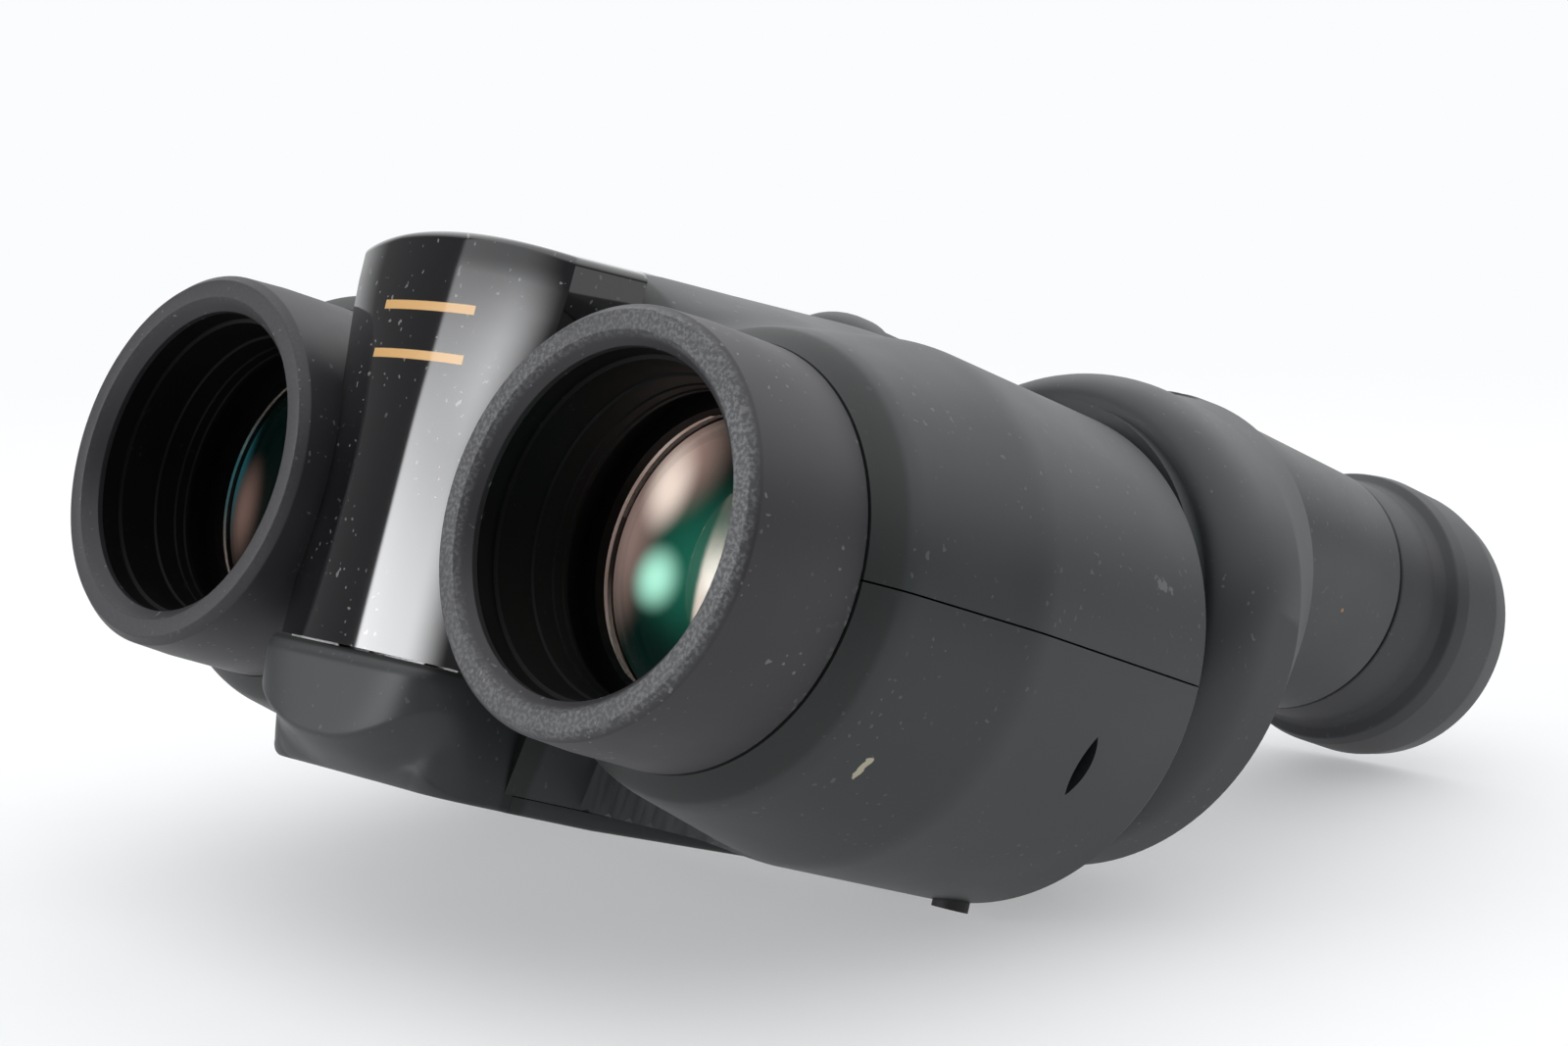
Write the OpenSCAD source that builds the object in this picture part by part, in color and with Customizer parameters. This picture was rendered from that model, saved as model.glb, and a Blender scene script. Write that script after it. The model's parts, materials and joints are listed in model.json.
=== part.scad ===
// Image-stabilised roof binoculars.
// Working frame: X across (user's left is +X), Y from the hood lips to the eyecups,
// Z up from the plane of the two objective axes. seat() moves it so that the origin is
// at the bottom centre of the whole object.

/* [Case] */
// Distance between the two objective axes
axis_gap = 69; // [66:0.5:84]
// Height of the objective axes above the underside
axis_height = 30; // [30:0.5:36]
// Distance from the hood lips to the rear face of the case
case_end = 66.5; // [66:0.5:80]
// Outer radius of the barrels
barrel_r = 28.7; // [27.5:0.1:29.5]
// Radius of the case just behind the hood rings
nose_r = 22.5; // [22.2:0.1:25]
// Where the flare of the barrels ends
crease_y = 36.5; // [26:0.5:48]
// Top of the case at its rear end, above the objective axes
top_z = 35.9; // [35.8:0.1:42]
// Wall of the case, panel and chin
wall = 2.2; // [1.6:0.1:2.4]
// Chamfer of the rear rim
rim = 1.4; // [0.4:0.1:2]
// Gap between the upper and lower shells
seam = 0.2; // [0.1:0.05:0.5]

/* [Objective end] */
// Length of the rubber hood rings
hood_length = 15.75; // [13:0.25:18]
// Outer radius of the hood rings at their rear
hood_r = 22.4; // [21.2:0.1:23.5]
// Inner radius of the hood mouth and of the front of the objective tubes
mouth_r = 17.64; // [16.5:0.02:18.4]
// Outer radius of the objective tubes
tube_r = 20; // [19.2:0.1:20.6]
// Radius of the objective lenses
objective_r = 16.2; // [13.5:0.1:16.6]
// Distance from the hood lips to the edge of the objective lenses at rest
lens_y = 18.4; // [17.5:0.1:24]

/* [Front panel] */
// Half width of the panel column between the barrels
column_w = 15.2; // [12:0.1:17]
// Distance from the lips plane to the foremost line of the panel
panel_y = 2; // [1:0.1:5]
// Height of the line between panel and chin, below the axes
chin_top = 17; // [14:0.5:20]
// Radius of the round rear end of the panel's tongue
tongue_r = 12; // [8:0.5:14]
// Where the centre of that round end lies
tongue_y = 19; // [17:0.5:26]

/* [Turrets] */
// Height of the eyepiece axis above the turret's hinge
eye_rise = 20.4; // [17:0.1:20.8]
// How far the eyepiece axis leans inward at rest
eye_lean = 1; // [0:0.1:4]
// Radius of the turret drum
drum_r = 28.8; // [26:0.1:29]
// Rise of the drum's centre above the hinge
drum_rise = 6.8; // [5.8:0.1:8]
// Length of the drum with its front rounding
drum_length = 13; // [12:0.5:18]
// Length of the bevel behind the drum
bevel_length = 7.5; // [5:0.5:10]
// Outer radius of the bearing rings that the turrets turn on
bearing_r = 17.3; // [15.5:0.1:17.9]
// Bore of the bearing rings
bearing_bore = 14.2; // [12:0.1:14.6]

/* [Eyepieces] */
// Outer radius of the eyepiece tubes
eyetube_r = 16.2; // [15.6:0.1:18]
// Length of the eyepiece tubes behind the turret
eyetube_length = 34; // [30:0.5:44]
// Bore of the eyepiece tubes
eye_bore = 13.2; // [12:0.05:13.4]
// Radius of the spigot that carries the eyecup
spigot_r = 15; // [14.6:0.1:15.4]
// Outer radius of the eyecup's skirt
cup_r = 18.5; // [17.6:0.1:21]
// Length of the eyecup
cup_length = 25.8; // [22:0.2:32]
// Radius of the diopter ring
diopter_r = 16.9; // [16.4:0.1:18.5]
// Length of the diopter ring
diopter_length = 14; // [9:0.5:15]

/* [Focus] */
// Height of the focus knob's axis above the objective axes
knob_z = 28.6; // [28.2:0.1:31]
// Radius of the focus knob
knob_r = 9.2; // [7:0.1:9.8]
// Length of the focus knob
knob_length = 16; // [10:0.5:20]
// Flutes round the focus knob
knob_flutes = 24; // [12:1:36]
// Radius of the focus screw
screw_r = 2; // [1.5:0.1:2.2]
// Forward travel of the objectives from rest
focus_near = 3; // [1:0.25:3]
// Rearward travel of the objectives from rest
focus_far = 1; // [0.25:0.25:1]

/* [Stabiliser and power] */
// Radius of the stabiliser windows
window_r = 15.4; // [13:0.1:15.6]
// Outer radius of the window rings
window_ring_r = 18.6; // [17:0.1:18.8]
// Radius of a battery cell
cell_r = 7; // [5.2:0.05:7.1]
// Length of a battery cell
cell_length = 49.5; // [40:0.5:50]
// Half width of the battery door
door_w = 15.4; // [14:0.1:16.5]
// Length of the battery door
door_length = 40; // [30:0.5:41]
// Half length of the stabiliser button between its round ends
button_half = 3; // [1:0.25:4]
// Radius of the button's round ends
button_r = 4; // [3:0.1:5]
// How far the button goes down
button_travel = 1.2; // [0.6:0.1:1.5]

/* [Fits] */
// Radial clearance of parts that turn or slide in one another
run_fit = 0.05; // [0.02:0.01:0.1]
// Clearance of fixed parts that drop into place
seat_fit = 0.05; // [0.02:0.01:0.1]
// Gap between parts that move past each other
air = 0.4; // [0.3:0.05:0.6]

/* [Hidden] */
$fn = 96;

axis_x = axis_gap / 2;
rubber = "#3a3d3e";
hood_rubber = "#2f2d31";
gloss = "#101112";
dark = "#1a1a1c";
metal = "#9a9da0";
glass = "#8fb8ae";

// stations along Y, from the hood lips backward
lip_depth = 2.15;
tube_y = lip_depth + seat_fit;
flare_y = hood_length + 3.2;
shoulder_r = nose_r + 0.9;
rear_inner = case_end - wall;
gear_length = 3;
gear_y = rear_inner - 0.7 - gear_length;
plate_length = 3.6;
plate_y = gear_y - air - plate_length;
frame_length = 7.6;
frame_y = plate_y - 2.8 - frame_length;
carriage_length = 3;
carriage_y = frame_y - 0.7 - focus_far - carriage_length;
tube_end = carriage_y - focus_near - 0.5;
lip_length = 1.2;
lip_step = 0.4;
lens_room = 8.3;
cell_front = lens_y - lip_length;
baffle_end = cell_front - focus_near - 0.5;
mouth_length = 6;
baffle_y = tube_y + mouth_length;
guide_r = mouth_r + 0.3;
front_frame_y = tube_end - 8;
front_frame_length = 3.5;
tray_y = hood_length + 6.3;
pocket_end = plate_y - 1.1;

// turret stations and centres, as offsets from the hinge
turret_y = case_end + air;
collar_r = 24.4;
collar_at = [-0.2, 6];
collar_length = 4;
drum_y = turret_y + 2.6;
drum_at = [-eye_lean / 2, drum_rise];
drum_round = 4.2;
drum_ease = 8;
bevel_y = drum_y + drum_length;
rear_y = bevel_y + bevel_length;
rear_r = drum_r - 3.8;
rear_at = [-0.7 * eye_lean, drum_rise + 5.2];
eye_at = [-eye_lean, eye_rise];
turret_wall = 2.4;
bearing_seat = 2.5;

// eyepiece stations
tube_root = rear_y;
tube_rear = tube_root + eyetube_length;
groove = 0.6;
cup_y = tube_rear + groove;
cup_end = cup_y + cup_length;
overall_length = cup_end;
spigot_end = cup_y + 11.5;
neck_r = spigot_r - 0.4;
diopter_y = tube_rear - 1.2 - diopter_length;
diopter_cell_y = diopter_y - 9;
ocular_y = diopter_y + 3;

// case heights
floor_z = -axis_height;
under_z = floor_z + 2;
pad_z = floor_z + 0.6;
tongue_end_y = tongue_y + tongue_r;
slope_z = 3.5;
front_top_z = top_z - 7.3;
door_y = case_end - 9.5 - door_length;
hinge_y = case_end - 7.6;
hinge_z = floor_z + 1;
hinge_r = 0.75;
column_fillet = 6;
chin_proud = 0.8;
line_gap = 0.35;
hump_r = knob_r + 0.6;
hump_y = case_end - 6.2;
hump_end = case_end + 1.1;
hump_round = 3;
hump_ease = 5.5;
knob_y = hump_end + 0.5;
button_at = [-13, case_end - 20.5];
lamp_at = [-13, case_end - 9.5];
post_at = [-12.4, button_at[1]];
post_top = 25;
rod_at = [5, 12];
rod_r = 1.5;
rail_z = 15.2;

// --- shared shapes ---

module seat() translate([0, -overall_length / 2, axis_height]) children();

module sided(side) {
    if (side > 0) children();
    else mirror([1, 0, 0]) children();
}

// a body of revolution about a Y axis; points are [radius, y]
module spin_y(points) rotate([-90, 0, 0]) rotate_extrude() polygon(points);

module rod_y(r, y0, y1) translate([0, y0, 0]) rotate([-90, 0, 0]) cylinder(r = r, h = y1 - y0);

module ring_y(r_out, r_in, y0, y1)
    difference() {
        rod_y(r_out, y0, y1);
        rod_y(r_in, y0 - 1, y1 + 1);
    }

module on_axis() translate([axis_x, 0, 0]) children();

module at_offset(p) translate([axis_x + p[0], 0, p[1]]) children();

module slab(x0, x1, y0, y1, z0, z1) translate([x0, y0, z0]) cube([x1 - x0, y1 - y0, z1 - z0]);

// stretches a front-view outline (x, z) along Y
module along_y(y0, y1) translate([0, y1, 0]) rotate([90, 0, 0]) linear_extrude(y1 - y0) children();

// stretches a side-view outline (y, z) along X
module across_x(half) rotate([90, 0, 90]) translate([0, 0, -half]) linear_extrude(2 * half) children();

// --- case ---

function barrel_profile(s) = [
    [0, hood_length + s], [nose_r - s, hood_length + s], [shoulder_r - s, flare_y + s / 2],
    [barrel_r - s, crease_y], [barrel_r - s, case_end - max(rim, s)],
    [barrel_r - max(rim, s), case_end - s], [0, case_end - s]];

function top_at(y) = y < tongue_end_y
    ? front_top_z + (y - panel_y) * slope_z / (tongue_end_y - panel_y)
    : front_top_z + slope_z
        + (y - tongue_end_y) * (top_z - front_top_z - slope_z) / (hump_y - tongue_end_y);

// the middle of the case, s inside its outer face
module centre_block(s) {
    arch_drop = top_z - barrel_r + 1;
    arch_r = (axis_x * axis_x + arch_drop * arch_drop) / (2 * arch_drop);
    intersection() {
        along_y(hood_length + s, case_end - s)
            intersection() {
                translate([0, top_z - arch_r]) circle(arch_r - s, $fn = 240);
                translate([-axis_x, under_z + s]) square([axis_gap, top_z - under_z - s]);
            }
        across_x(axis_x)
            polygon([[hood_length, under_z + s], [case_end, under_z + s], [case_end, top_z - s],
                [hump_y, top_z - s], [tongue_end_y, top_at(tongue_end_y) - s],
                [hood_length, top_at(hood_length) - s]]);
        translate([0, 0, floor_z])
            linear_extrude(2 * axis_height + 10)
                polygon([[s - column_w, hood_length], [column_w - s, hood_length],
                    [axis_x - s, crease_y + 6], [axis_x - s, case_end], [s - axis_x, case_end],
                    [s - axis_x, crease_y + 6]]);
    }
}

module case_solid(s) {
    for (side = [1, -1]) sided(side) on_axis() spin_y(barrel_profile(s));
    centre_block(s);
}

// plan of the panel column and its tongue, s inside the outline
module column_plan(s, front) {
    bow = 3.5;
    bow_r = (column_w * column_w + bow * bow) / (2 * bow);
    intersection() {
        translate([0, front + bow_r]) circle(bow_r - s, $fn = 240);
        translate([-column_w - 1, front]) square([2 * column_w + 2, hood_length - front]);
    }
}

module tongue_plan(s) {
    translate([0, tongue_y]) circle(tongue_r - s);
    polygon([[s - column_w - 0.5, hood_length - 1], [column_w + 0.5 - s, hood_length - 1],
        [tongue_r - s, tongue_y], [s - tongue_r, tongue_y]]);
}

// front view of the column: flat sides and a rounded top
module column_front(s) {
    half = column_w - s;
    top = top_at(hood_length) - s;
    corner = column_fillet - s / 2;
    translate([-half, floor_z]) square([2 * half, top - floor_z - corner]);
    translate([-half + corner, floor_z]) square([2 * (half - corner), top - floor_z]);
    for (side = [1, -1]) translate([side * (half - corner), top - corner]) circle(corner);
}

// side view limit: the top slopes and its front edge is rounded
module column_side(s, front) {
    edge = 3;
    polygon([[front + s, floor_z], [hood_length + 1, floor_z], [hood_length + 1, top_at(hood_length) - s],
        [front + edge + s, top_at(front + edge) - s],
        for (a = [75 : -15 : 0]) [front + s + edge * (1 - cos(a)), top_at(front + edge) - s - edge * (1 - sin(a))]]);
}

module column(s, front) {
    intersection() {
        translate([0, 0, floor_z]) linear_extrude(2 * axis_height + 10) column_plan(s, front);
        along_y(0, hood_length) column_front(s);
        across_x(column_w) column_side(s, front);
    }
}

module ring_room() for (side = [1, -1]) sided(side) on_axis() rod_y(hood_r + air, -1, hood_length + 0.01);

// a leaf-shaped slit through the side of a barrel
module strap_slit() {
    half = 3.5;
    bulge = 1;
    leaf_r = (half * half + bulge * bulge) / (2 * bulge);
    on_axis() rotate([0, 23.6, 0]) translate([barrel_r - 2 * wall, case_end - 15.3, 0])
        rotate([4.5, 0, 0]) rotate([90, 0, 90])
            linear_extrude(3 * wall)
                intersection() {
                    translate([leaf_r - bulge, 0]) circle(leaf_r);
                    translate([bulge - leaf_r, 0]) circle(leaf_r);
                }
}

module screw_places() {
    for (side = [1, -1]) for (y = [case_end - 26.5, case_end - 13.5])
        translate([side * 19, y, under_z]) children();
}

cell_y = panel_y + 3.4;
cell_x = cell_r + 0.3;
cell_z = under_z + wall + 1.1 + cell_r;

// room for the two cells where they pass into the chin
module cell_room() for (side = [1, -1]) translate([side * cell_x, 0, cell_z])
    rod_y(cell_r + 0.15, cell_y - 0.7, tray_y + 1);

module case_cuts() {
    for (side = [1, -1]) sided(side) on_axis() {
        rod_y(tube_r + seat_fit, 0, hood_length + 3 * wall);
        rod_y(bearing_r + 0.7, rear_inner - 1, case_end + 1);
    }
    translate([0, 0, knob_z]) rod_y(screw_r + air, hump_y - 4, hump_end + 1);
    slab(-10, 10, hood_length - 1, hood_length + wall + 1, -11, 18);
}

module knob_hump() translate([0, 0, knob_z])
    spin_y([[0, hump_y], for (a = [15 : 15 : 90]) [hump_r - hump_round * (1 - sin(a)), hump_y + hump_ease * (1 - cos(a))],
        [hump_r, hump_end], [0, hump_end]]);

module button_plan(grow) {
    for (end = [1, -1]) translate([button_at[0], button_at[1] + end * button_half]) circle(button_r + grow);
    translate([button_at[0] - button_r - grow, button_at[1] - button_half])
        square([2 * (button_r + grow), 2 * button_half]);
}

module upper_shell() color(rubber)
    difference() {
        union() {
            difference() {
                case_solid(0);
                case_solid(wall);
            }
            intersection() {
                knob_hump();
                slab(-hump_r, hump_r, hump_y, hump_end, top_z - 3 * wall, knob_z + hump_r);
            }
            translate([0, 0, knob_z]) rod_y(screw_r + 2 * wall, rear_inner, hump_end);
        }
        case_cuts();
        slab(-axis_gap, axis_gap, 0, case_end + 1, floor_z - 1, seam / 2);
        intersection() {
            translate([0, 0, top_at(hood_length) - 4]) linear_extrude(12) tongue_plan(-seat_fit);
            across_x(axis_x) polygon([[hood_length - 1, top_at(hood_length - 1) - wall + 0.9],
                [tongue_end_y + 1, top_at(tongue_end_y + 1) - wall + 0.9],
                [tongue_end_y + 1, top_z + 5], [hood_length - 1, top_z + 5]]);
        }
        translate([0, 0, post_top]) linear_extrude(top_z) button_plan(0.15);
        translate([lamp_at[0], lamp_at[1], post_top]) cylinder(r = 1.5, h = top_z);
    }

module lower_shell() color(rubber)
    difference() {
        union() {
            difference() {
                case_solid(0);
                case_solid(wall);
            }
            screw_places() cylinder(r = 2.9, h = 6.5);
            for (side = [1, -1]) slab(side * 11 - 1.8, side * 11 + 1.8, hinge_y - 1.5, hinge_y + 1.5, floor_z, under_z + 0.5);
        }
        case_cuts();
        slab(-axis_gap, axis_gap, 0, case_end + 1, -seam / 2, top_z + 5);
        for (side = [1, -1]) sided(side) strap_slit();
        cell_room();
        slab(1 - door_w, door_w - 1, door_y + 1, door_y + door_length - 1, floor_z, under_z + wall + 1);
        screw_places() {
            translate([0, 0, -1]) cylinder(r = 2.5, h = 2.6);
            cylinder(r = 1.25, h = 6);
        }
        for (side = [1, -1]) translate([side * (axis_x + 3.5), case_end - 2.6, floor_z]) cylinder(r = 2.1, h = 3.2);
        translate([-axis_x, hinge_y, hinge_z]) rotate([0, 90, 0]) cylinder(r = hinge_r + run_fit, h = axis_gap);
    }

// side view of the panel: its front, rounded edge, sloping top and the tongue's underside
module panel_side() {
    edge = 3;
    base = line_gap - chin_top;
    skin = wall - 1;
    polygon([[panel_y, base], [hood_length, base], [hood_length, top_at(hood_length) - skin],
        [tongue_end_y + 1, top_at(tongue_end_y + 1) - skin], [tongue_end_y + 1, top_at(tongue_end_y + 1)],
        for (a = [90 : -15 : 0]) [panel_y + edge * (1 - cos(a)), top_at(panel_y + edge) - edge * (1 - sin(a))]]);
}

module front_panel() color(gloss)
    difference() {
        intersection() {
            translate([0, 0, floor_z]) linear_extrude(2 * axis_height + 10) {
                column_plan(0, panel_y);
                tongue_plan(0);
            }
            along_y(0, tongue_end_y + 2) column_front(0);
            across_x(axis_x) panel_side();
        }
        intersection() {
            column(wall, panel_y);
            slab(-column_w, column_w, 0, hood_length - 2, -chin_top - 1, top_z);
        }
        slab(wall - column_w, column_w - wall, hood_length - 4, hood_length + 1, -chin_top - 1, top_at(0) - 4);
        ring_room();
        cell_room();
    }

module chin_cover() color(rubber)
    difference() {
        intersection() {
            column(0, panel_y - chin_proud);
            slab(-column_w, column_w, 0, hood_length, floor_z, -chin_top);
        }
        intersection() {
            column(wall, panel_y - chin_proud);
            slab(-column_w, column_w, 0, hood_length + 1, floor_z + wall, 0);
        }
        slab(wall - column_w, column_w - wall, hood_length - 4, hood_length + 1, floor_z + wall, 0);
        cell_room();
        translate([0, 0, floor_z]) linear_extrude(3)
            difference() {
                translate([-column_w, 0]) square([2 * column_w, 6]);
                translate([0, 1.6]) column_plan(0, panel_y - chin_proud);
            }
        ring_room();
    }

// --- objectives ---

module hood_ring(side) color(hood_rubber) sided(side) on_axis()
    spin_y([[mouth_r, 1.37], [mouth_r + 1.4, 0], [hood_r - 1.5, 0], [hood_r - 0.9, 0.25], [hood_r - 0.5, 0.8],
        [hood_r, hood_length - 0.15], [tube_r + seat_fit, hood_length - 0.15], [tube_r + seat_fit, lip_depth],
        [mouth_r, lip_depth]]);

module objective_tube(side) color(dark) sided(side) on_axis()
    spin_y([[mouth_r, tube_y], [tube_r, tube_y], [tube_r, tube_end], [guide_r, tube_end],
        [guide_r, baffle_y], [mouth_r, baffle_y]]);

module light_baffle(side) color(dark) sided(side) on_axis() {
    ridges = 3;
    pitch = (baffle_end - baffle_y - 1) / ridges;
    spin_y([[guide_r - 0.02, baffle_y + 0.02], [guide_r - 0.02, baffle_end], [objective_r + 0.2, baffle_end],
        for (i = [ridges - 1 : -1 : 0]) for (step = [1, 0])
            [objective_r + 0.25 + 0.1 * (ridges - i) + 0.45 * step, baffle_y + 0.5 + pitch * (i + 0.5 * step)],
        [mouth_r - 0.5, baffle_y + 0.02]]);
}

module objective_cell(side) color(dark) sided(side) on_axis()
    spin_y([[objective_r - lip_step, cell_front], [guide_r - run_fit, cell_front],
        [guide_r - run_fit, carriage_y + carriage_length], [objective_r - lip_step, carriage_y + carriage_length],
        [objective_r - lip_step, lens_y + lens_room], [objective_r, lens_y + lens_room],
        [objective_r, lens_y], [objective_r - lip_step, lens_y]]);

module objective_lens(side) color(glass) sided(side) on_axis() {
    front_r = 62;
    bow = front_r - sqrt(front_r * front_r - pow(objective_r - lip_step - 0.1, 2));
    rotate([-90, 0, 0]) rotate_extrude()
        intersection() {
            translate([0, lens_y - bow + front_r]) circle(front_r, $fn = 240);
            union() {
                translate([0, cell_front - 4]) square([objective_r - lip_step - 0.1, 8]);
                translate([0, lens_y + 0.05]) square([objective_r - 0.02, 7]);
            }
        }
}

module focus_carriage() color(metal)
    difference() {
        union() {
            for (side = [1, -1]) sided(side) on_axis() rod_y(guide_r + 2.9, carriage_y, carriage_y + carriage_length);
            slab(-axis_x, axis_x, carriage_y, carriage_y + carriage_length, -9, rail_z - 0.6);
            slab(-2.6, 2.6, carriage_y, carriage_y + carriage_length, 0, knob_z - 1);
            slab(-2.6, 2.6, carriage_y, plate_y - 2.4 - focus_far, knob_z - 8, knob_z - 1);
            slab(-2.6, 2.6, carriage_y + 6, plate_y - 2.4 - focus_far, knob_z - 2, knob_z + 2.6);
        }
        for (side = [1, -1]) sided(side) {
            on_axis() rod_y(guide_r - run_fit, carriage_y - 1, carriage_y + carriage_length + 1);
            translate([rod_at[0], 0, rod_at[1]]) rod_y(rod_r + run_fit, carriage_y - 1, carriage_y + carriage_length + 1);
        }
        translate([0, 0, knob_z]) rod_y(screw_r + run_fit, carriage_y - 1, plate_y);
    }

module focus_screw() color(metal) translate([0, 0, knob_z])
    rod_y(screw_r, carriage_y + carriage_length + 1.5, knob_y + knob_length - 3);

module focus_knob() color(hood_rubber) translate([0, 0, knob_z])
    difference() {
        spin_y([[0, knob_y], [knob_r - 0.8, knob_y], [knob_r, knob_y + 0.8], [knob_r, knob_y + knob_length - 1.4],
            [knob_r - 1.4, knob_y + knob_length], [0, knob_y + knob_length]]);
        rod_y(screw_r, knob_y - 1, knob_y + knob_length - 3);
        for (i = [0 : knob_flutes - 1]) rotate([0, i * 360 / knob_flutes, 0]) translate([knob_r + 0.35, 0, 0])
            rod_y(0.75, knob_y + 2.2, knob_y + knob_length - 2.4);
    }

// --- inside the case ---

module chassis() color(metal)
    difference() {
        union() {
            for (side = [1, -1]) sided(side) {
                on_axis() rod_y(barrel_r - wall - 0.5, plate_y, plate_y + plate_length);
                on_axis() rod_y(tube_r + 3, front_frame_y, front_frame_y + front_frame_length);
                slab(9.5, 12.5, front_frame_y, plate_y + 1, rail_z, rail_z + 2.8);
            }
            slab(-axis_x, axis_x, plate_y, plate_y + plate_length, -10, 26);
            slab(-4, 4, plate_y, plate_y + plate_length, 0, knob_z + 3);
            slab(-axis_x, axis_x, front_frame_y, front_frame_y + front_frame_length, -10, rail_z + 2.8);
            translate([post_at[0], post_at[1], rail_z]) cylinder(r = 3.2, h = post_top - rail_z);
        }
        for (side = [1, -1]) sided(side) {
            on_axis() rod_y(bearing_r + run_fit, plate_y - 1, plate_y + plate_length + 1);
            on_axis() rod_y(tube_r + seat_fit, front_frame_y - 1, front_frame_y + front_frame_length + 1);
            translate([rod_at[0], 0, rod_at[1]]) rod_y(rod_r, front_frame_y - 1, plate_y + plate_length + 1);
        }
        translate([0, 0, knob_z]) rod_y(screw_r + run_fit, plate_y - 1, plate_y + plate_length + 1);
    }

module guide_rods() color(metal)
    for (side = [1, -1]) translate([side * rod_at[0], 0, rod_at[1]])
        rod_y(rod_r, front_frame_y + 0.5, plate_y + plate_length - 0.5);

// stations of the two tilting windows inside their frame
yaw_y = frame_y + 0.6;
window_length = 2;
pitch_y = frame_y + frame_length - 0.6 - window_length;
pivot_r = 0.7;

module stabiliser_frame(side) color(dark) sided(side) on_axis()
    difference() {
        union() {
            ring_y(window_ring_r + 5.2, window_ring_r + 0.7, frame_y, frame_y + frame_length);
            for (a = [45 : 90 : 315]) rotate([0, a, 0]) translate([window_ring_r + 3.6, 0, 0])
                rod_y(1.4, frame_y + frame_length - 1, plate_y);
        }
        translate([0, yaw_y + window_length / 2, 0]) cylinder(r = pivot_r + run_fit, h = 4 * window_ring_r, center = true);
        translate([0, pitch_y + window_length / 2, 0]) rotate([0, 90, 0])
            cylinder(r = pivot_r + run_fit, h = 4 * window_ring_r, center = true);
    }

module tilting_window(y, turn) color(glass) on_axis() {
    rod_y(window_ring_r, y, y + window_length);
    translate([0, y + window_length / 2, 0]) rotate([0, turn, 0])
        cylinder(r = pivot_r, h = 2 * window_ring_r + 6, center = true);
}

module yaw_window(side) sided(side) tilting_window(yaw_y, 0);

module pitch_window(side) sided(side) tilting_window(pitch_y, 90);

module bellows(side) color(hood_rubber) sided(side) on_axis() {
    folds = 2;
    gap = 0.6;
    y0 = yaw_y + window_length + gap;
    pitch = (pitch_y - gap - y0) / folds;
    spin_y([[window_r, y0], for (i = [0 : folds - 1]) each
            [[window_r + 1, y0 + pitch * i], [window_r + 2, y0 + pitch * (i + 0.5)]],
        [window_r + 1, pitch_y - gap], [window_r, pitch_y - gap]]);
}

module actuator_coils() color("#8a4b2a")
    for (side = [1, -1]) difference() {
        slab(side * 6.8 - 2.2, side * 6.8 + 2.2, frame_y + 0.8, frame_y + frame_length - 0.8, -8, 5);
        slab(side * 6.8 - 3, side * 6.8 + 3, frame_y + 2.6, frame_y + frame_length - 2.6, -5.5, 2.5);
    }

module control_board() color("#1f5a3c") {
    slab(-12.5, 12.5, hood_length + 2.8, front_frame_y + 4, 22, 23.4);
    for (x = [-7, 1.5]) slab(x, x + 5, hood_length + 6, hood_length + 11, 23.4, 24.8);
}

module battery_tray() color(dark)
    difference() {
        slab(-2 * cell_r - 1.4, 2 * cell_r + 1.4, tray_y, plate_y - 0.5, cell_z - cell_r - 0.9, cell_z + 1);
        for (side = [1, -1]) translate([side * cell_x, 0, cell_z]) rod_y(cell_r + 0.05, cell_y, pocket_end);
        slab(1.2 - door_w, door_w - 1.2, door_y + 1, cell_y + cell_length - 6, cell_z - cell_r - 2, cell_z - 2);
    }

module battery_cells() color("#b9bcc0")
    for (side = [1, -1]) translate([side * cell_x, 0, cell_z]) {
        rod_y(cell_r, cell_y + 0.8, cell_y + cell_length);
        rod_y(2.6, cell_y, cell_y + 0.8);
    }

module battery_contacts() color(metal)
    for (side = [1, -1]) translate([side * cell_x, 0, cell_z]) {
        rod_y(3.4, cell_y - 0.6, cell_y);
        ring_y(3.6, 2.2, cell_y + cell_length, pocket_end - 0.1);
    }

module battery_door() color(rubber) {
    difference() {
        slab(-door_w, door_w, door_y, door_y + door_length, floor_z, under_z - 0.05);
        for (i = [0 : 3]) slab(-4, 4, door_y + 3 + 1.8 * i, door_y + 3.9 + 1.8 * i, floor_z - 1, floor_z + 0.5);
    }
    slab(-8, 8, door_y + door_length - 0.5, hinge_y, floor_z + 0.05, under_z - 0.05);
    translate([-12.6, hinge_y, hinge_z]) rotate([0, 90, 0]) cylinder(r = hinge_r, h = 25.2);
}

module case_screws() color(metal)
    screw_places() difference() {
        union() {
            translate([0, 0, 0.1]) cylinder(r = 2.4, h = 1.5);
            cylinder(r = 1.25, h = 5.8);
        }
        slab(-1.6, 1.6, -0.3, 0.3, -1, 0.7);
        slab(-0.3, 0.3, -1.6, 1.6, -1, 0.7);
    }

module foot_pads() color(dark)
    for (side = [1, -1]) translate([side * (axis_x + 3.5), case_end - 2.6, pad_z]) cylinder(r = 2.1, h = 2.4);

module strap_bars() color(metal)
    for (side = [1, -1]) sided(side) on_axis() rotate([0, 23.6, 0]) translate([barrel_r - wall - 1.7, 0, 0])
        rod_y(1.1, frame_y + frame_length + 0.6, plate_y);

module indicator_lamp() color("#c8702a") translate([lamp_at[0], lamp_at[1], 0])
    translate([0, 0, top_z - 5.4]) cylinder(r = 1.5, h = 4.1);

module stabiliser_button() color(hood_rubber) {
    translate([0, 0, post_top + 4]) linear_extrude(top_z - 2.3 - post_top - 4) button_plan(0);
    translate([0, 0, post_top + 4]) linear_extrude(1.1) button_plan(0.7);
}

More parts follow.
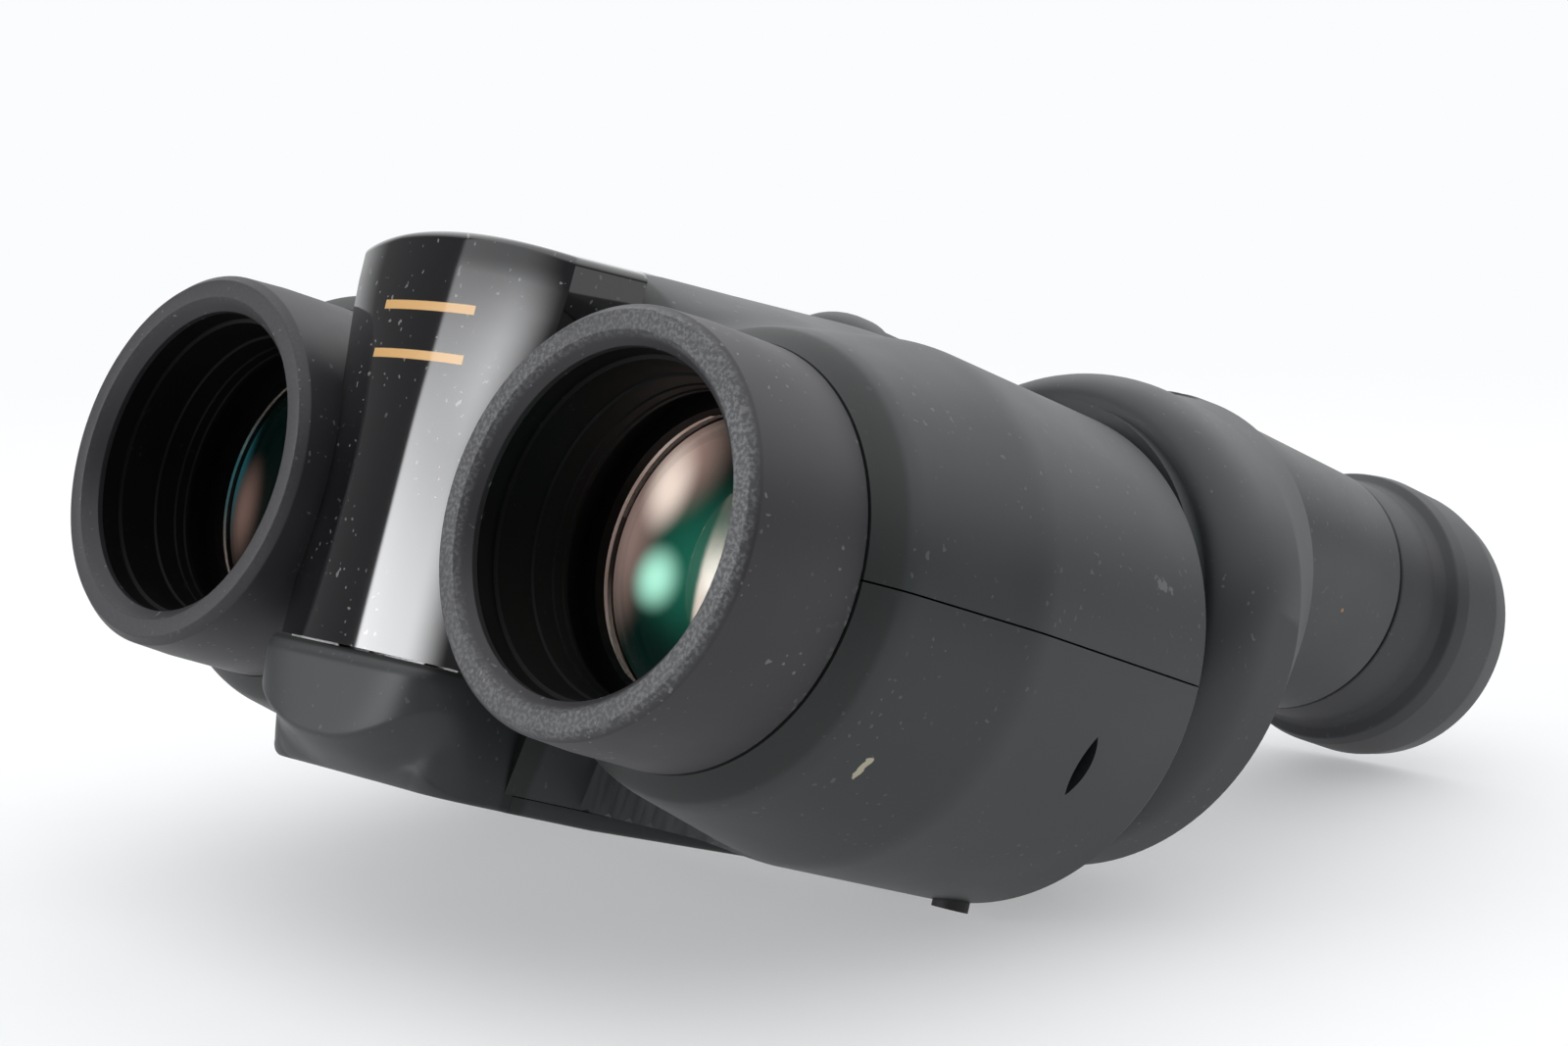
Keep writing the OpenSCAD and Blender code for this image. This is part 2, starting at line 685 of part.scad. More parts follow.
// the wire of the button's return spring, swept as a helix
spring_turns = 4.5;
spring_wire = 0.32;
spring_r = 1.9;
spring_steps = 72;
spring_sides = 8;
function spring_point(t, a) =
    let (turn = 360 * spring_turns * t, r = spring_r + spring_wire * cos(a))
    [r * cos(turn), r * sin(turn), spring_wire + (4 - 2 * spring_wire) * t + spring_wire * sin(a)];

module button_spring() color(metal) translate([button_at[0], button_at[1], post_top])
    polyhedron(
        points = [for (i = [0 : spring_steps]) for (j = [0 : spring_sides - 1])
            spring_point(i / spring_steps, -360 * j / spring_sides)],
        faces = [
            [for (j = [spring_sides - 1 : -1 : 0]) j],
            [for (j = [0 : spring_sides - 1]) spring_steps * spring_sides + j],
            for (i = [0 : spring_steps - 1]) for (j = [0 : spring_sides - 1])
                [i * spring_sides + j, i * spring_sides + (j + 1) % spring_sides,
                 (i + 1) * spring_sides + (j + 1) % spring_sides, (i + 1) * spring_sides + j]]);

// --- turrets ---

module turret(side) color(rubber) sided(side)
    difference() {
        union() {
            at_offset(collar_at) rod_y(collar_r, turret_y, turret_y + collar_length);
            at_offset(drum_at) spin_y([[0, drum_y],
                for (a = [0 : 10 : 90]) [drum_r - drum_round * (1 - sin(a)), drum_y + drum_ease * (1 - cos(a))],
                [drum_r, bevel_y], [0, bevel_y]]);
            hull() {
                at_offset(drum_at) rod_y(drum_r - 0.3, bevel_y - 1.2, bevel_y - 0.6);
                at_offset(rear_at) rod_y(rear_r, rear_y - 0.3, rear_y);
            }
        }
        at_offset(drum_at) rod_y(drum_r - turret_wall, drum_y + turret_wall, bevel_y - 0.5);
        at_offset(rear_at) rod_y(rear_r - turret_wall, bevel_y - 1, rear_y - turret_wall);
        on_axis() {
            rod_y(bearing_r, turret_y - 1, turret_y + bearing_seat);
            rod_y(bearing_bore, turret_y, drum_y + turret_wall + 1);
        }
        at_offset(eye_at) rod_y(eye_bore + 0.8, rear_y - turret_wall - 1, rear_y + 1);
    }

module bearing_ring(side) color(metal) sided(side) on_axis() {
    ring_y(bearing_r, bearing_bore, plate_y - 1.2, turret_y + bearing_seat);
    ring_y(bearing_r + 1.6, bearing_r, plate_y - 1.2, plate_y - 0.2);
}

// spur gear sectors that keep both turrets turning by the same angle
gear_teeth = 69;
gear_pitch = 360 / gear_teeth;
gear_module = 2 * axis_x / gear_teeth;
gear_base_r = axis_x * cos(20);
backlash = 0.12;
function involute(r) = let (roll = sqrt(pow(r / gear_base_r, 2) - 1)) roll * 180 / PI - atan(roll);
function flank(r) = gear_pitch / 4 - backlash / 2 / axis_x * 180 / PI + involute(axis_x) - involute(r);
function tooth(middle) =
    let (root_r = axis_x - 1.2 * gear_module, tip_r = axis_x + 0.9 * gear_module,
        radii = [for (i = [0 : 4]) root_r + (tip_r - root_r) * i / 4])
    concat([for (r = radii) let (a = middle - flank(max(r, gear_base_r))) [r * cos(a), r * sin(a)]],
        [for (i = [4 : -1 : 0]) let (r = radii[i], a = middle + flank(max(r, gear_base_r))) [r * cos(a), r * sin(a)]]);

module spacing_gear(side) color(metal) sided(side) on_axis() {
    span = 5;
    shift = side > 0 ? 0 : 0.5;
    first = -span - shift;
    outline = [for (i = [0 : 2 * span + 2 * shift]) each tooth(180 + (first + i) * gear_pitch)];
    edge = (span + shift + 0.5) * gear_pitch;
    difference() {
        union() {
            rod_y(bearing_r + 3.4, gear_y, gear_y + gear_length);
            along_y(gear_y, gear_y + gear_length)
                polygon(concat(outline, [for (a = [edge : -edge / 4 : -edge])
                    [(bearing_r + 1) * cos(180 + a), (bearing_r + 1) * sin(180 + a)]]));
        }
        rod_y(bearing_r, gear_y - 1, gear_y + gear_length + 1);
    }
}

module prism(side) color(glass) sided(side) {
    face = 14;
    y0 = drum_y + turret_wall + 0.4;
    translate([axis_x - eye_lean / 2, 0, 0])
        across_x(9) polygon([[y0, -face / 2], [y0 + face, face / 2],
            [y0 + face, eye_rise + face / 2], [y0, eye_rise - face / 2]]);
}

// --- eyepieces ---

module eyepiece_tube(side) color(rubber) sided(side) at_offset(eye_at)
    difference() {
        spin_y(concat(
            [[0, tube_root - turret_wall + 0.3], [eye_bore + 0.8, tube_root - turret_wall + 0.3],
                [eye_bore + 0.8, tube_root], [eyetube_r + 0.5, tube_root], [eyetube_r + 0.4, tube_root + 5]],
            side > 0 ? [[eyetube_r, tube_rear]]
                : [[eyetube_r + 0.1, diopter_y - 0.3], [neck_r, diopter_y - 0.3],
                    [neck_r, diopter_y + diopter_length + 0.3], [eyetube_r, diopter_y + diopter_length + 0.3],
                    [eyetube_r, tube_rear]],
            [[spigot_r, tube_rear], [spigot_r, spigot_end], [0, spigot_end]]));
        rod_y(eye_bore, tube_root - 5, spigot_end + 1);
        if (side < 0) slab(-1.1, 1.1, diopter_y + 1, diopter_y + 7, 0, neck_r + 1);
    }

module ocular_cell(side) color(dark) sided(side) at_offset(eye_at) {
    start = side > 0 ? ocular_y - 12 : ocular_y + 9;
    ring_y(eye_bore - seat_fit, eye_bore - 1.2, start, spigot_end - 0.2);
}

module ocular_lens(side) color(glass) sided(side) at_offset(eye_at) {
    lens_r = eye_bore - 1.22;
    curve = 24;
    thick = 6;
    middle = spigot_end - 4;
    rotate([-90, 0, 0]) rotate_extrude()
        intersection() {
            translate([0, middle - curve + thick / 2]) circle(curve, $fn = 180);
            translate([0, middle + curve - thick / 2]) circle(curve, $fn = 180);
            translate([0, middle - thick]) square([lens_r, 2 * thick]);
        }
}

module eyecup(side) color(hood_rubber) sided(side) at_offset(eye_at)
    spin_y([[spigot_r + 0.02, cup_y], [eyetube_r - 0.4, cup_y], [eyetube_r + 0.1, cup_y + 0.6],
        [eyetube_r + 0.3, cup_y + 8.4], [eyetube_r + 0.7, cup_y + 10.2], [cup_r - 0.5, cup_y + 11],
        [cup_r, cup_y + 12.6], [cup_r, cup_y + 20.5], [cup_r - 0.2, cup_y + 23.4], [cup_r - 0.9, cup_end - 0.5],
        [cup_r - 1.4, cup_end], [cup_r - 2, cup_end - 0.4], [spigot_r + 0.8, spigot_end + 2.5],
        [spigot_r - 0.6, spigot_end + 1.4], [eye_bore - 1, spigot_end + 1.4], [eye_bore - 1, spigot_end + 0.1],
        [spigot_r + 0.02, spigot_end + 0.1]]);

module diopter_ring() color(hood_rubber) sided(-1) at_offset(eye_at)
    difference() {
        ring_y(diopter_r, neck_r + run_fit, diopter_y, diopter_y + diopter_length);
        for (i = [0 : 35]) rotate([0, i * 10, 0]) translate([diopter_r + 0.3, 0, 0])
            rod_y(0.55, diopter_y + 1.2, diopter_y + diopter_length - 1.2);
    }

module diopter_lens() color(glass) sided(-1) at_offset(eye_at) {
    difference() {
        union() {
            rod_y(eye_bore - run_fit, diopter_y + 1.5, diopter_y + 6.5);
            translate([0, diopter_y + 4, 0]) cylinder(r = 1, h = neck_r - 0.2);
        }
        translate([0, diopter_y - 20, 0]) sphere(r = 22.5);
    }
}

seat() upper_shell();
seat() lower_shell();
seat() front_panel();
seat() chin_cover();
seat() hood_ring(1);  // hood_ring_left
seat() hood_ring(-1);  // hood_ring_right
seat() objective_tube(1);  // objective_tube_left
seat() objective_tube(-1);  // objective_tube_right
seat() light_baffle(1);  // light_baffle_left
seat() light_baffle(-1);  // light_baffle_right
seat() chassis();
seat() guide_rods();
seat() stabiliser_frame(1);  // stabiliser_frame_left
seat() stabiliser_frame(-1);  // stabiliser_frame_right
seat() bellows(1);  // bellows_left
seat() bellows(-1);  // bellows_right
seat() yaw_window(1);  // yaw_window_left
seat() yaw_window(-1);  // yaw_window_right
seat() pitch_window(1);  // pitch_window_left
seat() pitch_window(-1);  // pitch_window_right
seat() actuator_coils();
seat() control_board();
seat() battery_tray();
seat() battery_cells();
seat() battery_contacts();
seat() battery_door();
seat() case_screws();
seat() foot_pads();
seat() strap_bars();
seat() indicator_lamp();
seat() stabiliser_button();
seat() button_spring();
seat() focus_carriage();
seat() objective_cell(1);  // objective_cell_left
seat() objective_cell(-1);  // objective_cell_right
seat() objective_lens(1);  // objective_lens_left
seat() objective_lens(-1);  // objective_lens_right
seat() focus_knob();
seat() focus_screw();
seat() turret(1);  // turret_left
seat() turret(-1);  // turret_right
seat() bearing_ring(1);  // bearing_ring_left
seat() bearing_ring(-1);  // bearing_ring_right
seat() spacing_gear(1);  // spacing_gear_left
seat() spacing_gear(-1);  // spacing_gear_right
seat() prism(1);  // prism_left
seat() prism(-1);  // prism_right
seat() eyepiece_tube(1);  // eyepiece_tube_left
seat() eyepiece_tube(-1);  // eyepiece_tube_right
seat() ocular_cell(1);  // ocular_cell_left
seat() ocular_cell(-1);  // ocular_cell_right
seat() ocular_lens(1);  // ocular_lens_left
seat() ocular_lens(-1);  // ocular_lens_right
seat() eyecup(1);  // eyecup_left
seat() eyecup(-1);  // eyecup_right
seat() diopter_ring();
seat() diopter_lens();
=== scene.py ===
# %% [markdown]
# # Image-stabilised binoculars: the looks
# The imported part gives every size, joint and inner piece. This script sets the camera and the
# light, makes the materials, and builds smooth outer pieces that ride on the part's bodies.
# Working sizes are in millimetres from the hood lips (y) and the objective axes (z).

# %% load the part
import json
import math

import bmesh
import bpy
from mathutils import Matrix, Vector


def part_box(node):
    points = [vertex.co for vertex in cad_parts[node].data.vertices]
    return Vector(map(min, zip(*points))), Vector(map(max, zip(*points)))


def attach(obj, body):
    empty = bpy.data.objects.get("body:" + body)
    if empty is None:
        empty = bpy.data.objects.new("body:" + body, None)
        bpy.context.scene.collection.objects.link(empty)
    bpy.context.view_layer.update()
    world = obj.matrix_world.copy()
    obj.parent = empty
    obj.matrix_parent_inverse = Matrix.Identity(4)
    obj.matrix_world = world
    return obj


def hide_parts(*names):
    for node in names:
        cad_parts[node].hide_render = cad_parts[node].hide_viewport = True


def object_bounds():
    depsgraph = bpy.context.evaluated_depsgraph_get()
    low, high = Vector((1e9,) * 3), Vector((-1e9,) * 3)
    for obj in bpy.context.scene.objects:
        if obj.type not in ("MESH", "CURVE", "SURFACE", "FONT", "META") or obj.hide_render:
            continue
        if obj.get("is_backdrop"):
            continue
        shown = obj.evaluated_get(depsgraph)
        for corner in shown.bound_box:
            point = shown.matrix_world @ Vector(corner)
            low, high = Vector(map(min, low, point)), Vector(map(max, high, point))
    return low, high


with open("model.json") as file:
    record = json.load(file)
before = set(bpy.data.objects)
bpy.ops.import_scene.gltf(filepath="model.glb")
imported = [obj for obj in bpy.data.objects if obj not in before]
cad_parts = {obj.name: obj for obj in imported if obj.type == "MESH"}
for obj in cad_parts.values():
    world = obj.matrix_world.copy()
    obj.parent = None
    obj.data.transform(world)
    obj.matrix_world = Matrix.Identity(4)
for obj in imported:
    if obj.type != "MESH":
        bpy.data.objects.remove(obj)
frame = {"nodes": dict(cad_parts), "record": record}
scene = bpy.context.scene
cad_low, cad_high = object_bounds()
hood_low, hood_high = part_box("hood_ring_left")
LIPS_Y = hood_low.y
AXIS_Z = (hood_low.z + hood_high.z) / 2
AXIS_X = (hood_low.x + hood_high.x) * 500
print("nodes", len(frame["nodes"]), "axis", round(AXIS_X, 2), "mm from the middle")


# %% [markdown]
# ## Camera
# It looks from the front left of the object, low, a little upward.

# %% camera
def at(x, y, z):
    """A point in metres from millimetres behind the lips and above the axes."""
    return Vector((x / 1000, LIPS_Y + y / 1000, AXIS_Z + z / 1000))


camera = bpy.data.objects.new("camera", bpy.data.cameras.new("camera"))
scene.collection.objects.link(camera)
back = Vector((0.6853, -0.7215, -0.099)).normalized()
right = Vector((0.721, 0.653, 0.2319))
right = (right - back * right.dot(back)).normalized()
up = back.cross(right)
camera.matrix_world = Matrix.Translation((0.22487, -0.24863, 0.00843)) @ Matrix(
    (right, up, back)).transposed().to_4x4()
camera.data.lens = 61.5
camera.data.sensor_width = 36
camera.data.clip_start = 0.01
scene.camera = camera
print("camera", [round(c, 4) for c in camera.location])


# %% [markdown]
# ## Materials
# One node group holds the wear that all the rubber shares: blotches, grain, pale specks and
# thin rubs, all from object coordinates. Each material sets its own amounts.

# %% node helpers
def link(tree, a, b):
    tree.links.new(a, b)


def math_node(tree, operation, *values):
    n = tree.nodes.new("ShaderNodeMath")
    n.operation = operation
    for i, v in enumerate(values):
        if isinstance(v, (int, float)):
            n.inputs[i].default_value = v
        else:
            link(tree, v, n.inputs[i])
    return n.outputs[0]


def ramp(tree, value, low, high, out_low=0.0, out_high=1.0):
    n = tree.nodes.new("ShaderNodeMapRange")
    n.interpolation_type = "SMOOTHSTEP"
    for name, v in (("Value", value), ("From Min", low), ("From Max", high),
                    ("To Min", out_low), ("To Max", out_high)):
        if isinstance(v, (int, float)):
            n.inputs[name].default_value = v
        else:
            link(tree, v, n.inputs[name])
    return n.outputs["Result"]


def noise(tree, vector, scale, detail=2.0, stretch=None):
    if stretch:
        m = tree.nodes.new("ShaderNodeMapping")
        m.inputs["Scale"].default_value = stretch
        link(tree, vector, m.inputs["Vector"])
        vector = m.outputs["Vector"]
    n = tree.nodes.new("ShaderNodeTexNoise")
    n.inputs["Scale"].default_value = scale
    n.inputs["Detail"].default_value = detail
    link(tree, vector, n.inputs["Vector"])
    return n.outputs["Fac"]


def blend_colour(tree, factor, a, b):
    n = tree.nodes.new("ShaderNodeMix")
    n.data_type = "RGBA"
    link(tree, factor, n.inputs["Factor"])
    for socket, v in ((n.inputs["A"], a), (n.inputs["B"], b)):
        if isinstance(v, tuple):
            socket.default_value = (*v, 1)
        else:
            link(tree, v, socket)
    return n.outputs["Result"]


def object_point(tree):
    return tree.nodes.new("ShaderNodeTexCoord").outputs["Object"]


def new_group(name, inputs, outputs):
    g = bpy.data.node_groups.new(name, "ShaderNodeTree")
    for label, kind, value in inputs:
        s = g.interface.new_socket(label, in_out="INPUT", socket_type=kind)
        s.default_value = value
    for label, kind in outputs:
        g.interface.new_socket(label, in_out="OUTPUT", socket_type=kind)
    return g, g.nodes.new("NodeGroupInput").outputs, g.nodes.new("NodeGroupOutput").inputs


COLOUR, FLOAT = "NodeSocketColor", "NodeSocketFloat"

# %% shared wear
wear, w_in, w_out = new_group("wear", [
    ("Colour", COLOUR, (0.03, 0.03, 0.03, 1)), ("Pale", COLOUR, (0.3, 0.32, 0.32, 1)),
    ("Roughness", FLOAT, 0.5), ("Blotch", FLOAT, 0.5), ("Specks", FLOAT, 0.5),
    ("Rubs", FLOAT, 0.3), ("Grain", FLOAT, 0.5)],
    [("Colour", COLOUR), ("Roughness", FLOAT), ("Height", FLOAT)])
point = object_point(wear)
cloud = noise(wear, point, 55, 4)
grain = noise(wear, point, 2600, 2)
speck = math_node(wear, "MULTIPLY", ramp(wear, noise(wear, point, 1500, 0), 0.76, 0.80),
                  ramp(wear, noise(wear, point, 90, 1), 0.42, 0.62))
rub = math_node(wear, "MULTIPLY",
                ramp(wear, noise(wear, point, 1, 3, (260, 1900, 420)), 0.62, 0.78),
                ramp(wear, noise(wear, point, 70, 2), 0.56, 0.70))
blotch = math_node(wear, "MULTIPLY", math_node(wear, "SUBTRACT", cloud, 0.5), w_in["Blotch"])
pale = math_node(wear, "MAXIMUM", math_node(wear, "MULTIPLY", speck, w_in["Specks"]),
                 math_node(wear, "MULTIPLY", rub, w_in["Rubs"]))
haze = math_node(wear, "MAXIMUM", math_node(wear, "MULTIPLY", blotch, 0.12), 0.0)
link(wear, blend_colour(wear, math_node(wear, "ADD", pale, haze), w_in["Colour"], w_in["Pale"]),
     w_out["Colour"])
link(wear, math_node(wear, "ADD", w_in["Roughness"], math_node(wear, "MULTIPLY", blotch, 0.35)),
     w_out["Roughness"])
link(wear, math_node(wear, "ADD", math_node(wear, "MULTIPLY", grain, w_in["Grain"]),
                     math_node(wear, "MULTIPLY", rub, -0.5)), w_out["Height"])


def material(name, colour, rough, metallic=0.0, coat=0.0, blotch=0.5, specks=0.4, rubs=0.2,
             grain=0.4, pale=(0.3, 0.32, 0.32), bump=0.15, **sockets):
    """A shader whose colour, roughness and height come from the shared wear."""
    m = bpy.data.materials.new(name)
    m.use_nodes = True
    tree = m.node_tree
    shader = tree.nodes["Principled BSDF"]
    shader.inputs["Metallic"].default_value = metallic
    shader.inputs["Coat Weight"].default_value = coat
    for label, v in sockets.items():
        shader.inputs[label.replace("_", " ")].default_value = v
    g = tree.nodes.new("ShaderNodeGroup")
    g.node_tree = wear
    g.name = "wear"
    for label, v in (("Colour", (*colour, 1)), ("Pale", (*pale, 1)), ("Roughness", rough),
                     ("Blotch", blotch), ("Specks", specks), ("Rubs", rubs), ("Grain", grain)):
        g.inputs[label].default_value = v
    link(tree, g.outputs["Colour"], shader.inputs["Base Color"])
    link(tree, g.outputs["Roughness"], shader.inputs["Roughness"])
    b = tree.nodes.new("ShaderNodeBump")
    b.inputs["Strength"].default_value = bump
    b.inputs["Distance"].default_value = 0.00005
    link(tree, g.outputs["Height"], b.inputs["Height"])
    link(tree, b.outputs["Normal"], shader.inputs["Normal"])
    return m


def tint(mat, factor_of, colour, roughness=None):
    """Lays a second colour over a material where factor_of(tree, point) is 1."""
    tree = mat.node_tree
    shader = tree.nodes["Principled BSDF"]
    factor = factor_of(tree, object_point(tree))
    base = shader.inputs["Base Color"].links[0].from_socket
    link(tree, blend_colour(tree, factor, base, colour), shader.inputs["Base Color"])
    if roughness is not None:
        old = shader.inputs["Roughness"].links[0].from_socket
        n = tree.nodes.new("ShaderNodeMix")
        link(tree, factor, n.inputs["Factor"])
        link(tree, old, n.inputs["A"])
        n.inputs["B"].default_value = roughness
        link(tree, n.outputs["Result"], shader.inputs["Roughness"])


def along(tree, point, axis):
    s = tree.nodes.new("ShaderNodeSeparateXYZ")
    link(tree, point, s.inputs["Vector"])
    return s.outputs[axis]


def spot(tree, point, centre, size, edge=0.25, turn=0.0, soft=0.12):
    """1 inside an ellipsoid of that size in millimetres about centre, with a ragged rim.

    turn rolls it about Y, in degrees; edge is how ragged and soft how wide the rim is.
    """
    if turn:
        r = tree.nodes.new("ShaderNodeVectorRotate")
        r.rotation_type = "Y_AXIS"
        r.inputs["Center"].default_value = centre
        r.inputs["Angle"].default_value = math.radians(turn)
        link(tree, point, r.inputs["Vector"])
        point = r.outputs["Vector"]
    m = tree.nodes.new("ShaderNodeMapping")
    m.inputs["Location"].default_value = [-c * 1000 / s for c, s in zip(centre, size)]
    m.inputs["Scale"].default_value = [1000 / s for s in size]
    link(tree, point, m.inputs["Vector"])
    length = tree.nodes.new("ShaderNodeVectorMath")
    length.operation = "LENGTH"
    link(tree, m.outputs["Vector"], length.inputs[0])
    ragged = math_node(tree, "ADD", length.outputs["Value"],
                       math_node(tree, "MULTIPLY", noise(tree, point, 900, 3), edge))
    return ramp(tree, ragged, 1.12 - soft, 1.12, 1.0, 0.0)


# %% rubber, plastic and metal
casing = material("casing_rubber", (0.0145, 0.0178, 0.0190), 0.45, blotch=0.6, specks=0.22,
                  rubs=0.08, grain=0.5, pale=(0.20, 0.22, 0.22))
hood_rubber = material("hood_rubber", (0.0150, 0.0138, 0.0168), 0.5, blotch=0.9, specks=0.4,
                       rubs=0.10, grain=0.5, pale=(0.26, 0.25, 0.26))
cup_rubber = material("eyecup_rubber", (0.0150, 0.0158, 0.0180), 0.5, specks=0.1, rubs=0.03,
                      pale=(0.2, 0.2, 0.21))
control = material("control_rubber", (0.0150, 0.0165, 0.0170), 0.55, specks=0.2, rubs=0.05)
black = material("black_plastic", (0.0030, 0.0030, 0.0035), 0.5, specks=0.04, rubs=0.01,
                 grain=0.2, pale=(0.2, 0.2, 0.2), Specular_IOR_Level=0.12)
gloss = material("gloss_panel", (0.004, 0.004, 0.005), 0.07, coat=0.6, blotch=0.12,
                 specks=0.30, rubs=0.05, grain=0.0, pale=(0.5, 0.5, 0.5), bump=0.02,
                 Coat_Roughness=0.04)
alloy = material("alloy", (0.45, 0.46, 0.47), 0.35, metallic=1.0, specks=0.0)
steel = material("steel", (0.55, 0.55, 0.56), 0.28, metallic=1.0, specks=0.0)
brass = material("brass", (0.62, 0.48, 0.22), 0.3, metallic=1.0, specks=0.0)
copper = material("coil_copper", (0.60, 0.30, 0.16), 0.35, metallic=1.0, specks=0.0)
board = material("board", (0.05, 0.20, 0.11), 0.35, specks=0.2)
wrap = material("cell_wrap", (0.60, 0.61, 0.63), 0.3, metallic=0.3, specks=0.0)
foot = material("foot_rubber", (0.02, 0.02, 0.02), 0.6)
folds = material("bellows_rubber", (0.03, 0.03, 0.03), 0.55)
amber = material("amber_lens", (0.75, 0.33, 0.08), 0.25, specks=0.0)


# %% coated glass and painted lens reflections
GLASS_IOR = 1.6


def glass(name, specular, colour):
    """Clear glass with a tinted reflection."""
    m = material(name, colour, 0.02, blotch=0.0, specks=0.06, rubs=0.02, grain=0.0,
                 pale=(0.6, 0.6, 0.6), bump=0.0)
    s = m.node_tree.nodes["Principled BSDF"].inputs
    s["Transmission Weight"].default_value = 1.0
    s["IOR"].default_value = GLASS_IOR
    s["Specular Tint"].default_value = (*specular, 1)
    s["Specular IOR Level"].default_value = 0.45
    return m


def painted_reflections(name, x, places, strength):
    """Painted reflections and highlights of an inner element: soft glowing patches of colour about
    its axis at x.

    A patch is its place across and up, its half width and half height, and its colour.
    """
    m = material(name, (0.004, 0.008, 0.007), 0.12, specks=0.0, rubs=0.0, grain=0.0, bump=0.0)
    t = m.node_tree
    colour = None
    for dx, dz, wide, high, shade in places:
        factor = spot(t, object_point(t), at(x + dx, 22, dz), (wide, 40, high), 0.0, 0.0, 1.05)
        colour = blend_colour(t, factor, colour or (0.001, 0.005, 0.004), shade)
    shader = t.nodes["Principled BSDF"]
    link(t, colour, shader.inputs["Emission Color"])
    shader.inputs["Emission Strength"].default_value = strength
    return m


coated = glass("coated_glass", (1.0, 0.72, 0.60), (0.90, 0.93, 0.92))
# the inner elements glow with painted reflections and highlights: peach and mint on the left, teal
# and peach on the right
painted_inner_glints = {
    1: painted_reflections("painted_glints_left", AXIS_X, [
        (-2.0, -1.0, 10, 10, (0.010, 0.11, 0.07)), (-13.0, 2.0, 6, 13, (0.26, 0.17, 0.15)),
        (-8.0, 9.5, 7.5, 7, (0.34, 0.22, 0.19)), (-8.8, 6.6, 4.4, 5.4, (1.0, 0.80, 0.70)),
        (-6.9, -2.8, 4.4, 3.8, (0.50, 1.0, 0.78)), (-7.0, -11.5, 8, 6, (0.002, 0.010, 0.008))], 1.0),
    -1: painted_reflections("painted_glints_right", -AXIS_X, [
        (-15.5, 1.0, 3.4, 12, (0.02, 0.12, 0.14)), (-11.0, -3.0, 4.2, 7, (0.22, 0.13, 0.11))], 0.7)}
clear_glass = glass("optical_glass", (0.8, 1.0, 0.95), (0.9, 0.95, 0.94))


# %% wear in named places
def lip_wear(tree, p):
    """Scuffed rubber on the flat lips of the hoods, much heavier on the left one."""
    y = along(tree, p, "Y")
    near = ramp(tree, y, LIPS_Y + 0.0002, LIPS_Y + 0.0009, 1.0, 0.0)
    scuff = ramp(tree, noise(tree, p, 2300, 3), 0.40, 0.66, 0.22, 0.90)
    patch = ramp(tree, noise(tree, p, 60, 2), 0.3, 0.7, 0.6, 1.0)
    used = ramp(tree, along(tree, p, "X"), 0.0, 0.01, 0.12, 1.0)
    return math_node(tree, "MULTIPLY", math_node(tree, "MULTIPLY", near, scuff),
                     math_node(tree, "MULTIPLY", patch, used))


def rear_dust(tree, p):
    """Pale dust caught along the rear edge of the hood."""
    y = along(tree, p, "Y")
    near = ramp(tree, y, LIPS_Y + 0.0146, LIPS_Y + 0.0157)
    return math_node(tree, "MULTIPLY", near, ramp(tree, noise(tree, p, 800, 3), 0.55, 0.75, 0, 0.7))


def painted_nose_shade(tree, p):
    """Painted shade on the narrow band of the casing behind the hood rings."""
    y = along(tree, p, "Y")
    return math_node(tree, "MULTIPLY", ramp(tree, y, at(0, 15, 0).y, at(0, 16, 0).y),
                     ramp(tree, y, at(0, 18.4, 0).y, at(0, 19.4, 0).y, 0.75, 0.0))


def gilt(tree, p):
    """Two plain thin bars across the upper part of the panel."""
    z = along(tree, p, "Z")
    x = along(tree, p, "X")
    bars = None
    for middle in (20.2, 14.8):
        low, high = at(0, 0, middle - 0.55).z, at(0, 0, middle + 0.55).z
        bar = math_node(tree, "MULTIPLY", ramp(tree, z, low, low + 1e-4),
                        ramp(tree, z, high - 1e-4, high, 1, 0))
        bars = math_node(tree, "MAXIMUM", bars, bar) if bars else bar
    ends = math_node(tree, "MULTIPLY", ramp(tree, x, -0.0082, -0.0081),
                     ramp(tree, x, 0.0071, 0.0072, 1, 0))
    front = ramp(tree, along(tree, p, "Y"), at(0, 6, 0).y, at(0, 6.2, 0).y, 1, 0)
    return math_node(tree, "MULTIPLY", math_node(tree, "MULTIPLY", bars, ends), front)


def chin_line(tree, p):
    """The dark joint between the panel and the chin."""
    z = along(tree, p, "Z")
    band = math_node(tree, "MULTIPLY", ramp(tree, z, at(0, 0, -17.7).z, at(0, 0, -17.3).z),
                     ramp(tree, z, at(0, 0, -16.9).z, at(0, 0, -16.8).z, 1, 0))
    return math_node(tree, "MULTIPLY", band,
                     ramp(tree, along(tree, p, "Y"), at(0, 15, 0).y, at(0, 15.5, 0).y, 1, 0))


def scratch(tree, p):
    """A ragged pale scratch low on the left barrel."""
    return spot(tree, p, at(54.6, 24.9, -16.8), (3.5, 0.9, 0.30), 1.1, 50)


def rubbed_side(tree, p):
    """A faint rubbed place on the side of the left barrel."""
    return math_node(tree, "MULTIPLY", 0.35, spot(tree, p, at(61.5, 57, 9), (5, 6, 4), 2.2))


tint(hood_rubber, lip_wear, (0.135, 0.14, 0.145), 0.55)
tint(hood_rubber, rear_dust, (0.25, 0.25, 0.25))
tint(gloss, gilt, (0.62, 0.36, 0.13), 0.35)
# painted shade on the casing band just behind the hood rings
tint(casing, painted_nose_shade, (0.003, 0.003, 0.003), 0.6)
tint(casing, chin_line, (0.001, 0.001, 0.001), 0.8)
tint(casing, scratch, (0.40, 0.37, 0.27), 0.7)
tint(casing, rubbed_side, (0.20, 0.21, 0.21))
print("materials", len(bpy.data.materials))

# %% [markdown]
# ## Stage
# The object leans back on its two feet and the rims of the eyecups, so the floor is tilted.
# The light comes from the room: a bright wall behind, a sheet overhead and a tall card that the
# gloss panel mirrors as a white band. The floor glows a little, more so where it meets the wall.

